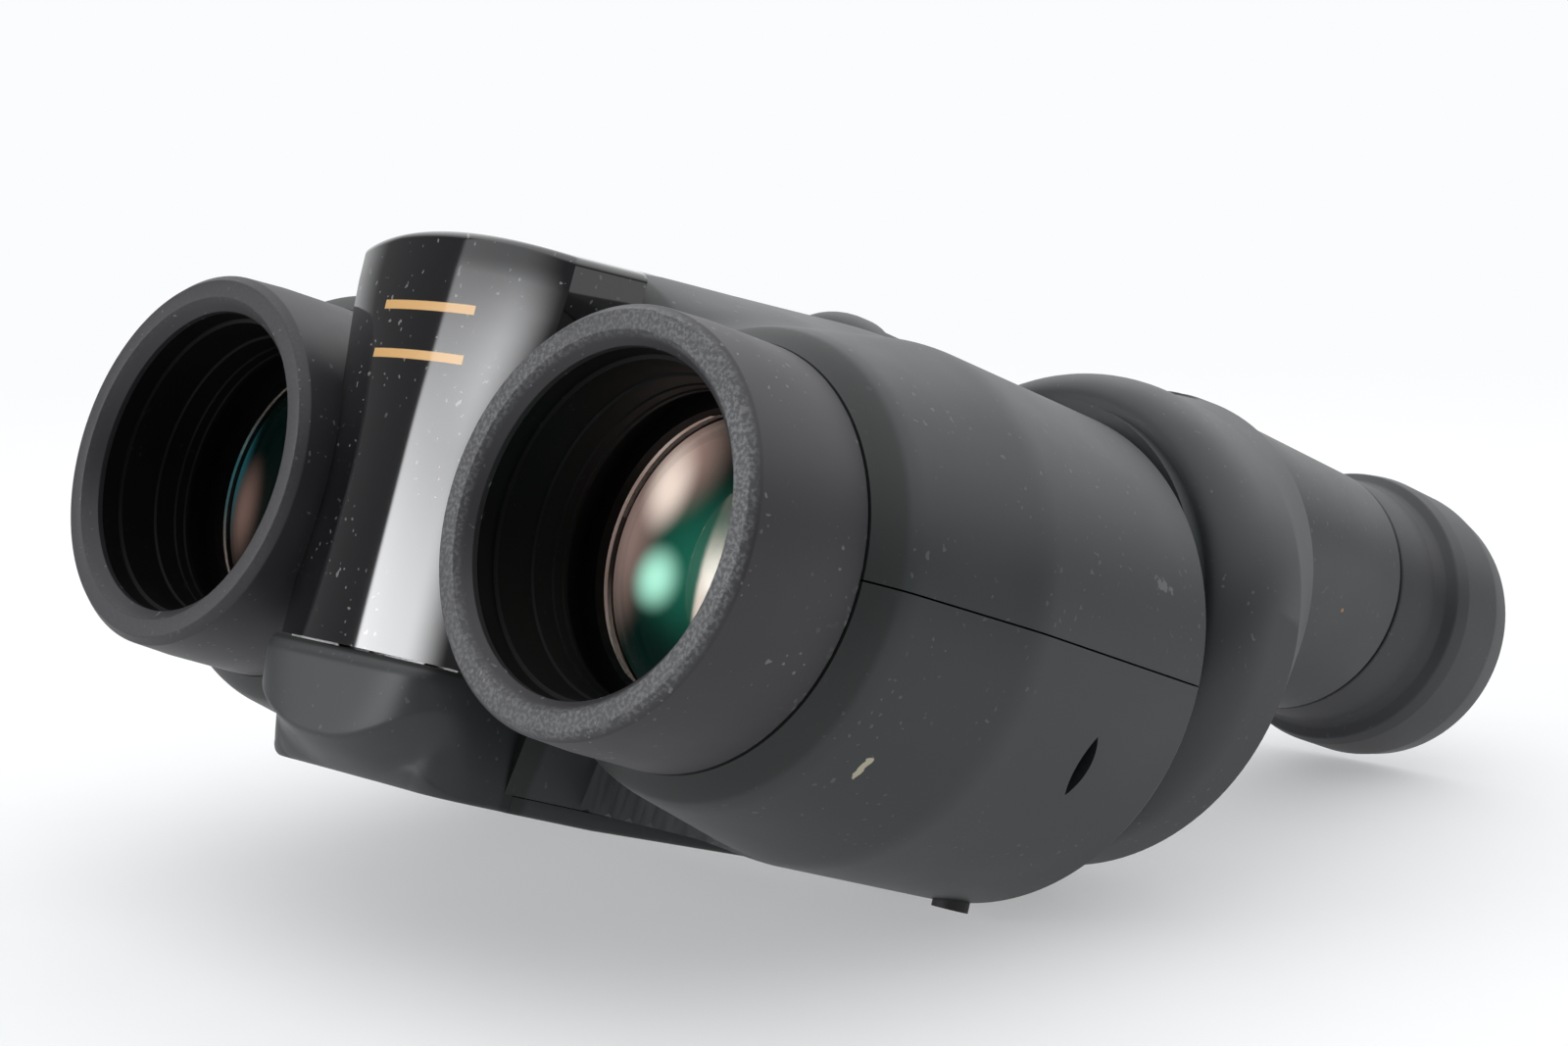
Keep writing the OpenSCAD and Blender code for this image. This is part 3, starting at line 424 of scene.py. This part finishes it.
# %% floor
FLOOR_TILT = math.radians(20.8)
floor_normal = Vector((0, -math.sin(FLOOR_TILT), math.cos(FLOOR_TILT)))
contact = at(0, 66, -30.3)


def stage_material(name):
    """Pale and matt near the object, melting into the background far away."""
    m = bpy.data.materials.new(name)
    m.use_nodes = True
    t = m.node_tree
    matt = t.nodes["Principled BSDF"]
    matt.inputs["Roughness"].default_value = 0.7
    matt.inputs["Specular IOR Level"].default_value = 0.2
    far = t.nodes.new("ShaderNodeEmission")
    far.inputs["Color"].default_value = (0.965, 0.972, 0.985, 1)
    p = object_point(t)
    length = t.nodes.new("ShaderNodeVectorMath")
    length.operation = "LENGTH"
    link(t, p, length.inputs[0])
    distance = length.outputs["Value"]
    speckle = ramp(t, noise(t, p, 40, 2), 0.3, 0.7, 0.0, 1.0)
    link(t, blend_colour(t, speckle, (0.80, 0.81, 0.82), (0.82, 0.825, 0.83)),
         matt.inputs["Base Color"])
    melt = t.nodes.new("ShaderNodeMixShader")
    link(t, ramp(t, distance, 0.06, 0.62, 0.38, 1.0), melt.inputs[0])
    link(t, matt.outputs[0], melt.inputs[1])
    link(t, far.outputs[0], melt.inputs[2])
    hidden = t.nodes.new("ShaderNodeBsdfTransparent")
    below = t.nodes.new("ShaderNodeMixShader")
    link(t, t.nodes.new("ShaderNodeNewGeometry").outputs["Backfacing"], below.inputs[0])
    link(t, melt.outputs[0], below.inputs[1])
    link(t, hidden.outputs[0], below.inputs[2])
    link(t, below.outputs[0], t.nodes["Material Output"].inputs["Surface"])
    return m


bm = bmesh.new()
bmesh.ops.create_circle(bm, cap_ends=True, segments=64, radius=4)
mesh = bpy.data.meshes.new("floor")
bm.to_mesh(mesh)
bm.free()
floor = bpy.data.objects.new("floor", mesh)
floor.location = contact
floor.rotation_mode = "QUATERNION"
floor.rotation_quaternion = floor_normal.to_track_quat("Z", "Y")
mesh.materials.append(stage_material("floor"))
scene.collection.objects.link(floor)
floor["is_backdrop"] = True

# %% light
def studio():
    """A dim room with a bright back wall, an overhead sheet and one card at the front left."""
    world = bpy.data.worlds.new("studio")
    world.use_nodes = True
    t = world.node_tree
    direction = t.nodes.new("ShaderNodeTexCoord").outputs["Generated"]
    x, y, z = (along(t, direction, axis) for axis in "XYZ")
    toward = t.nodes.new("ShaderNodeVectorMath")
    toward.operation = "DOT_PRODUCT"
    toward.inputs[1].default_value = -back
    link(t, direction, toward.inputs[0])
    wall = ramp(t, toward.outputs["Value"], 0.45, 0.86, 0.0, 0.985)
    overhead = ramp(t, z, 0.22, 0.75, 0.0, 1.7)
    azimuth = math_node(t, "ARCTAN2", math_node(t, "MULTIPLY", x, -1),
                        math_node(t, "MULTIPLY", y, -1))
    card = math_node(t, "MULTIPLY", ramp(t, azimuth, math.radians(43), math.radians(45), 1, 0),
                     ramp(t, azimuth, math.radians(2), math.radians(22)))
    card = math_node(t, "MULTIPLY", card, ramp(t, z, 0.0, 0.20, 11.0, 1.2))
    card = math_node(t, "MULTIPLY", card, ramp(t, z, -0.16, -0.08))
    light = math_node(t, "MAXIMUM", math_node(t, "MAXIMUM", wall, overhead),
                      math_node(t, "MAXIMUM", card, 0.20))
    link(t, light, t.nodes["Background"].inputs["Strength"])
    t.nodes["Background"].inputs["Color"].default_value = (0.98, 0.987, 1.0, 1)
    return world


scene.world = studio()
scene.view_settings.view_transform = "Standard"
print("light from", scene.world.name)


# %% [markdown]
# ## Shape helpers
# Round pieces are outlines spun about a Y axis. Free shapes are grids whose points follow a
# formula.

# %% shape helpers
def rounded(points, steps=5):
    """An outline with arcs put in at the corners that carry a third number, their radius."""
    out = []
    for i, p in enumerate(points):
        here = Vector(p[:2])
        if len(p) < 3:
            out.append(here)
            continue
        a = (Vector(points[i - 1][:2]) - here).normalized()
        b = (Vector(points[(i + 1) % len(points)][:2]) - here).normalized()
        half = a.angle(b) / 2
        centre = here + (a + b).normalized() * p[2] / math.sin(half)
        reach = p[2] / math.tan(half)
        d0, d1 = (here + a * reach - centre), (here + b * reach - centre)
        turn = d0.angle(d1)
        out += [centre + (d0 * math.sin((1 - k / steps) * turn) + d1 * math.sin(k / steps * turn))
                / math.sin(turn) for k in range(steps + 1)]
    return [tuple(v) for v in out]


def spin(bm, outline, centre=(0, 0), steps=112, closed=True):
    """Turns an outline of (radius, y) points about the Y axis through centre (x, z)."""
    verts = [bm.verts.new(at(centre[0] + r, y, centre[1])) for r, y in outline]
    ends = verts[1:] + verts[:1] if closed else verts[1:]
    edges = [bm.edges.new(pair) for pair in zip(verts, ends)]
    bmesh.ops.spin(bm, geom=verts + edges, cent=at(centre[0], 0, centre[1]), axis=(0, 1, 0),
                   angle=2 * math.pi, steps=steps, use_merge=True)


def eased(radius, y, depth, length, steps=12):
    """The (radius, y) points of a long elliptical rounding at the front of a drum."""
    turns = [k / steps * math.pi / 2 for k in range(steps + 1)]
    return [(radius - depth * (1 - math.sin(a)), y + length * (1 - math.cos(a))) for a in turns]


def surface(bm, across, down, place):
    """A grid whose points are place(u, v), with u and v from 0 to 1."""
    for v in bmesh.ops.create_grid(bm, x_segments=across, y_segments=down, size=0.5)["verts"]:
        v.co = place(v.co.x + 0.5, v.co.y + 0.5)


def extrude(bm, faces, push):
    """Grows the faces by the vector push, leaving them closed behind."""
    grown = bmesh.ops.extrude_face_region(bm, geom=faces)["geom"]
    bmesh.ops.translate(bm, vec=push, verts=[g for g in grown if isinstance(g, bmesh.types.BMVert)])


def clean(bm):
    """Joins what coincides and turns all faces outward."""
    bmesh.ops.remove_doubles(bm, verts=bm.verts, dist=2e-6)
    bmesh.ops.dissolve_degenerate(bm, edges=bm.edges, dist=1e-6)
    bmesh.ops.recalc_face_normals(bm, faces=bm.faces)


def piece(name, bm, body, mat, replaces=(), crease=32):
    """Makes the finished object and hangs it on its body."""
    clean(bm)
    mesh = bpy.data.meshes.new(name)
    bm.to_mesh(mesh)
    bm.free()
    for polygon in mesh.polygons:
        polygon.use_smooth = True
    mesh.set_sharp_from_angle(angle=math.radians(crease))
    mesh.materials.append(mat)
    obj = bpy.data.objects.new(name, mesh)
    scene.collection.objects.link(obj)
    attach(obj, body)
    if replaces:
        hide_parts(*replaces)
    return obj


def soft_max(a, b, k):
    """The larger of a and b, with the change between them eased over k."""
    h = max(k - abs(a - b), 0) / k
    return max(a, b) + h * h * k / 4


def soft_min(a, b, k):
    """The smaller of a and b, eased in the same way."""
    return -soft_max(-a, -b, k)


def carve(obj, bm):
    """Cuts the closed shape bm out of obj."""
    bmesh.ops.recalc_face_normals(bm, faces=bm.faces)
    mesh = bpy.data.meshes.new("cutter")
    bm.to_mesh(mesh)
    bm.free()
    cutter = bpy.data.objects.new("cutter", mesh)
    scene.collection.objects.link(cutter)
    cut = obj.modifiers.new("cut", "BOOLEAN")
    cut.operation, cut.solver, cut.object = "DIFFERENCE", "EXACT", cutter
    bpy.context.view_layer.update()
    done = bpy.data.meshes.new_from_object(
        obj.evaluated_get(bpy.context.evaluated_depsgraph_get()))
    obj.modifiers.clear()
    obj.data = done
    bpy.data.objects.remove(cutter)


SIDES = (("left", 1), ("right", -1))

# %% [markdown]
# ## Hoods, tubes and lenses

# %% hood rings
for side, sign in SIDES:
    bm = bmesh.new()
    spin(bm, rounded([
        (17.64, 1.5, 0.25), (18.95, 0.02, 0.22), (20.95, 0.0, 0.35), (21.75, 0.95, 0.5),
        (22.15, 6.0), (22.4, 15.6, 0.3), (20.06, 15.6), (20.06, 2.16), (17.64, 2.16)]),
        (sign * AXIS_X, 0), 128)
    piece(f"hood_{side}", bm, "case", hood_rubber, [f"hood_ring_{side}"])

# %% ridged light baffles
for side, sign in SIDES:
    bm = bmesh.new()
    steps = [(17.62, 2.2), (17.62, 4.4), (17.2, 4.6), (17.05, 9.1), (16.8, 9.3), (16.75, 11.8),
             (16.6, 12.0), (16.6, 13.1), (16.45, 13.3), (16.45, 13.75), (17.9, 13.75),
             (17.9, 8.25), (17.63, 8.2)]
    spin(bm, steps, (sign * AXIS_X, 0), 128)
    piece(f"baffle_{side}", bm, "case", black, [f"light_baffle_{side}"], 20)

# %% objective lenses
LENS_R, LENS_BOW, INNER_LENS_R, INNER_CURVE = 15.7, 2.1, 15.2, 38
LENS_CURVE = (LENS_R ** 2 + LENS_BOW ** 2) / (2 * LENS_BOW)


def dome(y_edge, curve, reach, steps=12):
    """Points of a shallow dome from its middle to its edge."""
    depth = curve - math.sqrt(curve ** 2 - reach ** 2)
    radii = [reach * i / steps for i in range(steps + 1)]
    return [(r, y_edge - depth + curve - math.sqrt(curve ** 2 - r ** 2)) for r in radii]


for side, sign in SIDES:
    bm = bmesh.new()
    spin(bm, dome(18.4, LENS_CURVE, LENS_R) + [(LENS_R, 20.4), (0, 20.0)],
         (sign * AXIS_X, 0), 96, False)
    piece(f"objective_{side}", bm, "focus_carriage", coated,
          [f"objective_lens_{side}"])
    # the inner element behind each objective carries the glowing painted reflections
    bm = bmesh.new()
    spin(bm, dome(21.2, INNER_CURVE, INNER_LENS_R) + [(INNER_LENS_R, 24.6), (0, 24.0)],
         (sign * AXIS_X, 0), 96, False)
    piece(f"objective_inner_{side}", bm, "focus_carriage", painted_inner_glints[sign])

# %% [markdown]
# ## Casing
# One section formula gives the outline of both barrels and the bridge between them at each
# station. The grid is cut at the seam into an upper and a lower shell.

# %% casing formula
NOSE_Y, REAR_Y, RIM = 15.75, 66.5, 1.4
BARREL_R, TOP_Z, UNDER_Z = 28.7, 35.9, -28.0
PANEL_Y, PANEL_TOP, TONGUE_END, TONGUE_TOP = 2.0, 28.6, 31.0, 32.1
COLUMN_HALF = 15.1
SEAM, SKIN = 0.2, 1.6


def barrel(y):
    """Radius of a barrel at a station: a steep nose, a long flare and a straight rear."""
    flare = soft_min(22.5 + (y - NOSE_Y) * 0.80, 25.0 + (y - 19) * 0.2114, 1.2)
    return soft_min(flare, BARREL_R, 0.35) - max(0, y - REAR_Y + RIM)


def roof(y):
    """Height of the gloss panel's sloping top."""
    return PANEL_TOP + (y - PANEL_Y) * (TONGUE_TOP - PANEL_TOP) / (TONGUE_END - PANEL_Y)


def top(y):
    """Height of the casing's middle."""
    rise = TONGUE_TOP + (y - TONGUE_END) * 3.8 / 29.3
    height = max(roof(y), rise) if y < TONGUE_END else rise
    return soft_min(height, TOP_Z, 0.5) - max(0, y - REAR_Y + RIM)


def bridge(x, y):
    """Height of the bridge between the barrels, x from the middle."""
    share = min(1, max(0, (y - NOSE_Y) / 20))
    width = 24 + (AXIS_X - 24) * share
    power = 3.2 - 1.2 * share
    side = math.sqrt(max(barrel(y) ** 2 - (AXIS_X - width) ** 2, 1))
    foot_z = side - 4
    return top(y) - (top(y) - foot_z) * (x / width) ** power


def upper_point(u, y):
    """From the outer seam over the barrel (u under 0.5) to the middle of the top."""
    r = barrel(y)
    if u < 0.5:
        a = u * math.pi
        return AXIS_X + r * math.cos(a), r * math.sin(a)
    x = AXIS_X * (1 - (u - 0.5) * 2)
    arc = math.sqrt(max(r * r - (x - AXIS_X) ** 2, 0))
    return x, soft_max(arc, bridge(x, y), 4)


def lower_point(u, y):
    """From the outer seam under the barrel to the middle of the underside."""
    r = barrel(y)
    if u < 0.5:
        a = u * math.pi
        return AXIS_X + r * math.cos(a), -r * math.sin(a)
    x = AXIS_X * (1 - (u - 0.5) * 2)
    arc = math.sqrt(max(r * r - (x - AXIS_X) ** 2, 0))
    width = COLUMN_HALF + (AXIS_X - COLUMN_HALF) * min(1, max(0, (y - 27) / 10))
    under = -UNDER_Z - max(0, y - REAR_Y + RIM) - 5 * max(0, x - width)
    return x, -soft_max(arc, under, 1.5)


def shell(bm, outline, sign, rows=92, columns=96):
    """One side of a half of the casing, from nose to rear."""
    def place(u, v):
        y = NOSE_Y + (REAR_Y - NOSE_Y) * v
        x, z = outline(u, y)
        return at(sign * x, y, z)

    surface(bm, columns, rows, place)


# %% casing shells
def end_wall(bm, y, opening):
    """Closes one end of the casing round the two openings of that radius."""
    rim = [e for e in bm.edges if e.is_boundary and all(
        abs(v.co.y - at(0, y, 0).y) < 1e-6 for v in e.verts)]
    for _, sign in SIDES:
        hole = bmesh.ops.create_circle(
            bm, segments=64, radius=opening / 1000,
            matrix=Matrix.Translation(at(sign * AXIS_X, y, 0)) @ Matrix.Rotation(
                math.pi / 2, 4, "X"))["verts"]
        rim += {e for v in hole for e in v.link_edges}
    bmesh.ops.triangle_fill(bm, use_beauty=True, edges=rim)


def half_casing(keep_upper):
    """The whole casing's skin with its end walls, cut away on the other side of the seam."""
    bm = bmesh.new()
    for _, sign in SIDES:
        shell(bm, upper_point, sign)
        shell(bm, lower_point, sign)
    clean(bm)
    end_wall(bm, REAR_Y, 18.0)
    end_wall(bm, NOSE_Y, 20.3)
    clean(bm)
    direction = Vector((0, 0, 1 if keep_upper else -1))
    bmesh.ops.bisect_plane(bm, geom=bm.verts[:] + bm.edges[:] + bm.faces[:], dist=1e-6,
                           plane_co=at(0, 0, 0) + direction * SEAM / 2000, plane_no=direction,
                           clear_inner=True)
    return bm


bm = half_casing(True)
bmesh.ops.solidify(bm, geom=bm.faces, thickness=SKIN / 1000)
piece("casing_upper", bm, "case", casing, ["upper_shell"], 26)

bm = half_casing(False)
door_low, door_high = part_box("battery_door")
bay_half, bay_start, bay_end = 0.015, door_low.y - 0.0002, door_high.y + 0.0002


def middle_of(face):
    return face.calc_center_median()


for place, normal in ((-bay_half, (1, 0, 0)), (bay_half, (1, 0, 0)),
                      (bay_start, (0, 1, 0)), (bay_end, (0, 1, 0))):
    near = [f for f in bm.faces if middle_of(f).z < at(0, 0, -20).z
            and abs(middle_of(f).x) < 0.026]
    geom = {v for f in near for v in f.verts} | {e for f in near for e in f.edges} | set(near)
    bmesh.ops.bisect_plane(bm, geom=list(geom), dist=1e-6, plane_co=Vector(normal) * place,
                           plane_no=normal)
bay = [f for f in bm.faces if abs(middle_of(f).x) < bay_half
       and bay_start < middle_of(f).y < bay_end
       and middle_of(f).z < at(0, 0, -27.2).z]
bmesh.ops.delete(bm, geom=bay, context="FACES")
bmesh.ops.solidify(bm, geom=bm.faces, thickness=SKIN / 1000)
lower = piece("casing_lower", bm, "case", casing, ["lower_shell"], 26)

# %% strap slits
SLIT_HALF, SLIT_BULGE, SLIT_Y = 3.6, 1.05, 51.2
leaf = (SLIT_HALF ** 2 + SLIT_BULGE ** 2) / (2 * SLIT_BULGE)
span = math.asin(SLIT_HALF / leaf)


def leaf_outline(steps=12):
    """Two arcs that meet in points, upright in the YZ plane."""
    for flip in (1, -1):
        for k in range(steps + 1):
            a = -span + 2 * span * k / steps
            yield Vector((0, flip * (leaf * math.cos(a) - leaf + SLIT_BULGE),
                          flip * leaf * math.sin(a))) / 1000


for side, sign in SIDES:
    bm = bmesh.new()
    turned = Matrix.Translation(at(sign * AXIS_X, SLIT_Y, 0)) @ Matrix.Rotation(
        math.radians(23.6) * sign, 4, "Y") @ Matrix.Translation((sign * 0.024, 0, 0))
    tilt = Matrix.Rotation(math.radians(4.5), 4, "X")
    verts = [bm.verts.new(turned @ tilt @ p) for p in leaf_outline()]
    bmesh.ops.remove_doubles(bm, verts=verts, dist=1e-6)
    face = bmesh.ops.contextual_create(bm, geom=bm.verts[:])["faces"]
    extrude(bm, face, turned.to_3x3() @ Vector((sign * 0.012, 0, 0)))
    carve(lower, bm)

# %% [markdown]
# ## Front panel and chin

# %% gloss panel
COLUMN_W, CHIN_Z, BOW = 15.2, -17.0, 3.5
TONGUE_Y, TONGUE_R, PANEL_RIM = 19.0, 12.0, 0.9
BOW_R = (COLUMN_W ** 2 + BOW ** 2) / (2 * BOW)
BOW_HALF = math.asin(COLUMN_W / BOW_R)
# shares of the way round the plan, and of the way from the wall's foot to the roof's middle
BOW_DONE, SIDE_DONE, TAPER_DONE, ROUND_DONE, TAPER_BACK = 0.36, 0.46, 0.52, 0.84, 0.90
WALL_DONE, RIM_DONE = 0.35, 0.60


def panel_outline(t):
    """Plan of the panel, once round from its front left corner: bow, side, taper, round end."""
    if t < BOW_DONE:
        a = BOW_HALF * (2 * t / BOW_DONE - 1)
        return BOW_R * math.sin(a), PANEL_Y + BOW_R * (1 - math.cos(a))
    if t < SIDE_DONE:
        k = (t - BOW_DONE) / (SIDE_DONE - BOW_DONE)
        return COLUMN_W, PANEL_Y + BOW + (NOSE_Y - PANEL_Y - BOW) * k
    if t < TAPER_DONE:
        k = (t - SIDE_DONE) / (TAPER_DONE - SIDE_DONE)
        return COLUMN_W + (TONGUE_R - COLUMN_W) * k, NOSE_Y + (TONGUE_Y - NOSE_Y) * k
    if t < ROUND_DONE:
        a = math.pi * (t - TAPER_DONE) / (ROUND_DONE - TAPER_DONE)
        return TONGUE_R * math.cos(a), TONGUE_Y + TONGUE_R * math.sin(a)
    x, y = panel_outline(TAPER_DONE - (t - ROUND_DONE) if t < TAPER_BACK
                         else SIDE_DONE - (t - TAPER_BACK))
    return -x, y


def panel_point(u, v):
    """u runs round the plan; v climbs the wall, turns over the rim and crosses the roof."""
    x, y = panel_outline(u % 1.0)
    level = CHIN_Z + 46 * min(v / WALL_DONE, 1)
    flare = max(0, min(1, (20 - y) / 4)) * max(0, min(1, (level - 6) / 22))
    x *= 1 + 0.16 * flare * flare * (3 - 2 * flare)
    a = min(1, max(0, v - WALL_DONE) / (RIM_DONE - WALL_DONE)) * math.pi / 2
    inward, drop = PANEL_RIM * (1 - math.cos(a)), PANEL_RIM * (1 - math.sin(a))
    middle = 14.0
    share = 1 - inward / math.hypot(x, y - middle)
    share *= 1 - max(0, v - RIM_DONE) / (1 - RIM_DONE)
    x, y = x * share, middle + (y - middle) * share
    high = roof(y) - 1.3 * (x / COLUMN_W) ** 2 - drop
    base = CHIN_Z + 0.2
    return x, y, base + (high - base) * min(v / WALL_DONE, 1)


bm = bmesh.new()
surface(bm, 200, 40, lambda u, v: at(*panel_point(u, v)))
clean(bm)
bmesh.ops.solidify(bm, geom=bm.faces, thickness=0.0012)
piece("panel", bm, "case", gloss, ["front_panel"], 40)


# %% chin
CHIN_FRONT, CHIN_BACK, CHIN_LOW = 1.2, 16.9, -29.9
LID_DONE, DROP_DONE, TURN_DONE = 0.08, 0.70, 0.84


def chin_point(u, v):
    """u runs from the back left round the front; v crosses the lid, the wall and the floor."""
    down = min(1, max(0, v - LID_DONE) / (DROP_DONE - LID_DONE))
    n = 2 / (6.5 - 2.4 * down)
    a = math.pi * u
    c, s = math.cos(a), max(math.sin(a), 0)
    turn = min(1, max(0, v - DROP_DONE) / (TURN_DONE - DROP_DONE)) * math.pi / 2
    front = min(1, s * 1.3) ** 2
    edge = 0.4 + 2.2 * front
    z = CHIN_Z - 0.02 + (CHIN_LOW + edge - CHIN_Z) * down - edge * math.sin(turn)
    half = COLUMN_HALF - edge * (1 - math.cos(turn)) - 0.8 * front * down ** 3
    x = -math.copysign(half * abs(c) ** n, c)
    crease = -26.6 + 5.2 * (x / 14.5) ** 2
    set_back = soft_min(soft_max(0, (crease - z) * 1.5, 0.4), 4.2, 1.5)
    set_back += 1.2 * max(0, 1 - down / 0.18) ** 2 + edge * (1 - math.cos(turn))
    y = CHIN_BACK - (CHIN_BACK - CHIN_FRONT - set_back * s) * s ** n
    share = max(0, min(1, v / LID_DONE, (1 - v) / (1 - TURN_DONE)))
    return x * share, CHIN_BACK + (y - CHIN_BACK) * share, z


bm = bmesh.new()
surface(bm, 120, 100, lambda u, v: at(*chin_point(u, v)))
clean(bm)
piece("chin", bm, "case", casing, ["chin_cover"], 30)
print("panel and chin made")

# %% battery door
bm = bmesh.new()
DOOR_Y, DOOR_KNEE, DOOR_END, DOOR_TOP, DOOR_LOW = 16.95, 29.5, 56.3, -28.1, -29.95
side_view = [(DOOR_Y, DOOR_TOP), (DOOR_Y, DOOR_LOW), (DOOR_KNEE, DOOR_LOW),
             (DOOR_END, DOOR_LOW + 0.8), (DOOR_END, DOOR_TOP)]
verts = [bm.verts.new(at(-COLUMN_HALF, y, z)) for y, z in side_view]
bmesh.ops.contextual_create(bm, geom=verts)
extrude(bm, bm.faces[:], (2 * COLUMN_HALF / 1000, 0, 0))
lower_edges = [e for e in bm.edges if all(v.co.z < at(0, 0, -28.6).z for v in e.verts)
               and abs(e.verts[0].co.x - e.verts[1].co.x) < 1e-6]
bmesh.ops.bevel(bm, geom=lower_edges, offset=0.0004, segments=3, profile=0.5, affect="EDGES",
                material=-1)
piece("door_skin", bm, "battery_door", casing, ["battery_door"])

# %% [markdown]
# ## Turrets and eyepieces

# %% turrets
TURRET_Y, DRUM_Y, BEVEL_Y, TURRET_END = 66.9, 69.5, 82.5, 90.0
DRUM_R, REAR_R, COLLAR_R, ROOT_R = 28.8, 25.0, 24.4, 16.9
LEAN, COLLAR_RISE, DRUM_RISE, REAR_RISE, EYE_RISE = 1.0, 6.0, 6.8, 12.0, 20.4


def turret_ring(y):
    """Centre x and z from the hinge, and radius, of the bevel behind the drum."""
    t = (y - BEVEL_Y) / (TURRET_END - BEVEL_Y)
    return (-LEAN / 2 - 0.2 * t, DRUM_RISE + (REAR_RISE - DRUM_RISE) * t,
            DRUM_R + (REAR_R - DRUM_R) * t)


for side, sign in SIDES:
    bm = bmesh.new()
    spin(bm, [(17.4, TURRET_Y), (COLLAR_R, TURRET_Y), (COLLAR_R, DRUM_Y + 1), (17.4, DRUM_Y + 1)],
         (sign * (AXIS_X - 0.2), COLLAR_RISE), 96)
    spin(bm, [(16.6, DRUM_Y)] + eased(DRUM_R, DRUM_Y, 4.2, 8.0) + [(DRUM_R, BEVEL_Y)],
         (sign * (AXIS_X - LEAN / 2), DRUM_RISE), 128, False)

    def skin(u, v):
        y = BEVEL_Y + (TURRET_END - BEVEL_Y) * v
        cx, cz, r = turret_ring(y)
        a = 2 * math.pi * u
        return at(sign * (AXIS_X + cx + r * math.cos(a)), y, cz + r * math.sin(a))

    surface(bm, 128, 8, skin)

    def rear(u, v):
        cx, cz, r = turret_ring(TURRET_END)
        a = 2 * math.pi * u
        x0, z0 = cx + r * math.cos(a), cz + r * math.sin(a)
        x1, z1 = -LEAN + ROOT_R * math.cos(a), EYE_RISE + ROOT_R * math.sin(a)
        return at(sign * (AXIS_X + x0 + (x1 - x0) * v), TURRET_END + 0.25 * v,
                  z0 + (z1 - z0) * v)

    surface(bm, 128, 4, rear)
    piece(f"turret_{side}_skin", bm, f"turret_{side}", casing,
          [f"turret_{side}"], 24)

# %% eyepiece tubes and eyecups
for side, sign in SIDES:
    centre = (sign * (AXIS_X - LEAN), EYE_RISE)
    tube = [(16.5, 90.0), (16.2, 124.0, 0.3)]
    if side == "right":
        tube = [(16.5, 90.0), (16.3, 108.4, 0.2), (14.7, 108.4), (14.7, 123.1), (16.2, 123.1, 0.2),
                (16.2, 124.0, 0.2)]
    bm = bmesh.new()
    spin(bm, rounded([(14.0, 88.2), (16.6, 88.2)] + tube
                     + [(15.0, 124.0), (15.0, 136.0), (13.25, 136.0), (13.25, 100.0)]), centre, 112)
    piece(f"eye_tube_{side}", bm, f"turret_{side}", casing,
          [f"eyepiece_tube_{side}"], 28)
    bm = bmesh.new()
    spin(bm, rounded([
        (15.03, 124.6), (16.1, 124.6, 0.3), (16.3, 132.6, 1.2), (16.9, 134.6, 0.8),
        (18.1, 135.6, 0.8), (18.5, 138.0, 2.0), (18.5, 145.6, 3.0), (17.75, 149.9, 0.8),
        (16.6, 150.4, 0.6), (15.9, 139.4, 0.8), (14.4, 137.6), (12.3, 137.6), (12.3, 136.2),
        (15.03, 136.2)]), centre, 112)
    piece(f"eyecup_{side}_skin", bm, f"turret_{side}", cup_rubber,
          [f"eyecup_{side}"], 40)

bm = bmesh.new()
bmesh.ops.create_uvsphere(bm, u_segments=20, v_segments=10, radius=0.00045, matrix=(
    Matrix.Translation(at(AXIS_X - LEAN + 15.75, 112.1, 16.8)) @ Matrix.Diagonal((0.4, 1, 1, 1))))
orange = material("index_dot", (0.30, 0.15, 0.06), 0.5, specks=0.0)
piece("index_dot", bm, "turret_left", orange)

# %% knob hump
HUMP_R, HUMP_Y, HUMP_END, KNOB_RISE = 9.7, 60.3, 67.4, 28.6
bm = bmesh.new()
spin(bm, [(0, HUMP_Y)] + eased(HUMP_R, HUMP_Y, 3.2, 5.8) + [(HUMP_R, HUMP_END), (0, HUMP_END)],
     (0, KNOB_RISE), 64, False)
piece("knob_hump", bm, "case", casing)

# %% [markdown]
# ## The part's own pieces

# %% materials for the part's nodes
BY_SLOT = {
    "casing_rubber": casing, "gloss_panel": gloss, "hood_rubber": hood_rubber,
    "eyecup_rubber": cup_rubber, "control_rubber": control, "black_plastic": black,
    "coated_glass": coated, "optical_glass": clear_glass, "alloy": alloy, "steel": steel,
    "brass": brass, "coil_copper": copper, "board": board, "cell_wrap": wrap,
    "foot_rubber": foot, "bellows_rubber": folds, "amber_lens": amber}
for part in frame["record"]["subparts"]:
    obj = frame["nodes"][part["node"]]
    obj.data.materials.clear()
    obj.data.materials.append(BY_SLOT[part["material_slot"]])
    for polygon in obj.data.polygons:
        polygon.use_smooth = True
    obj.data.set_sharp_from_angle(angle=math.radians(32))

# %% compare with the part's box
low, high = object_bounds()
for label, a, b in zip("xyz", (low - cad_low), (high - cad_high)):
    print(label, "low", round(a * 1000, 3), "high", round(b * 1000, 3), "mm")
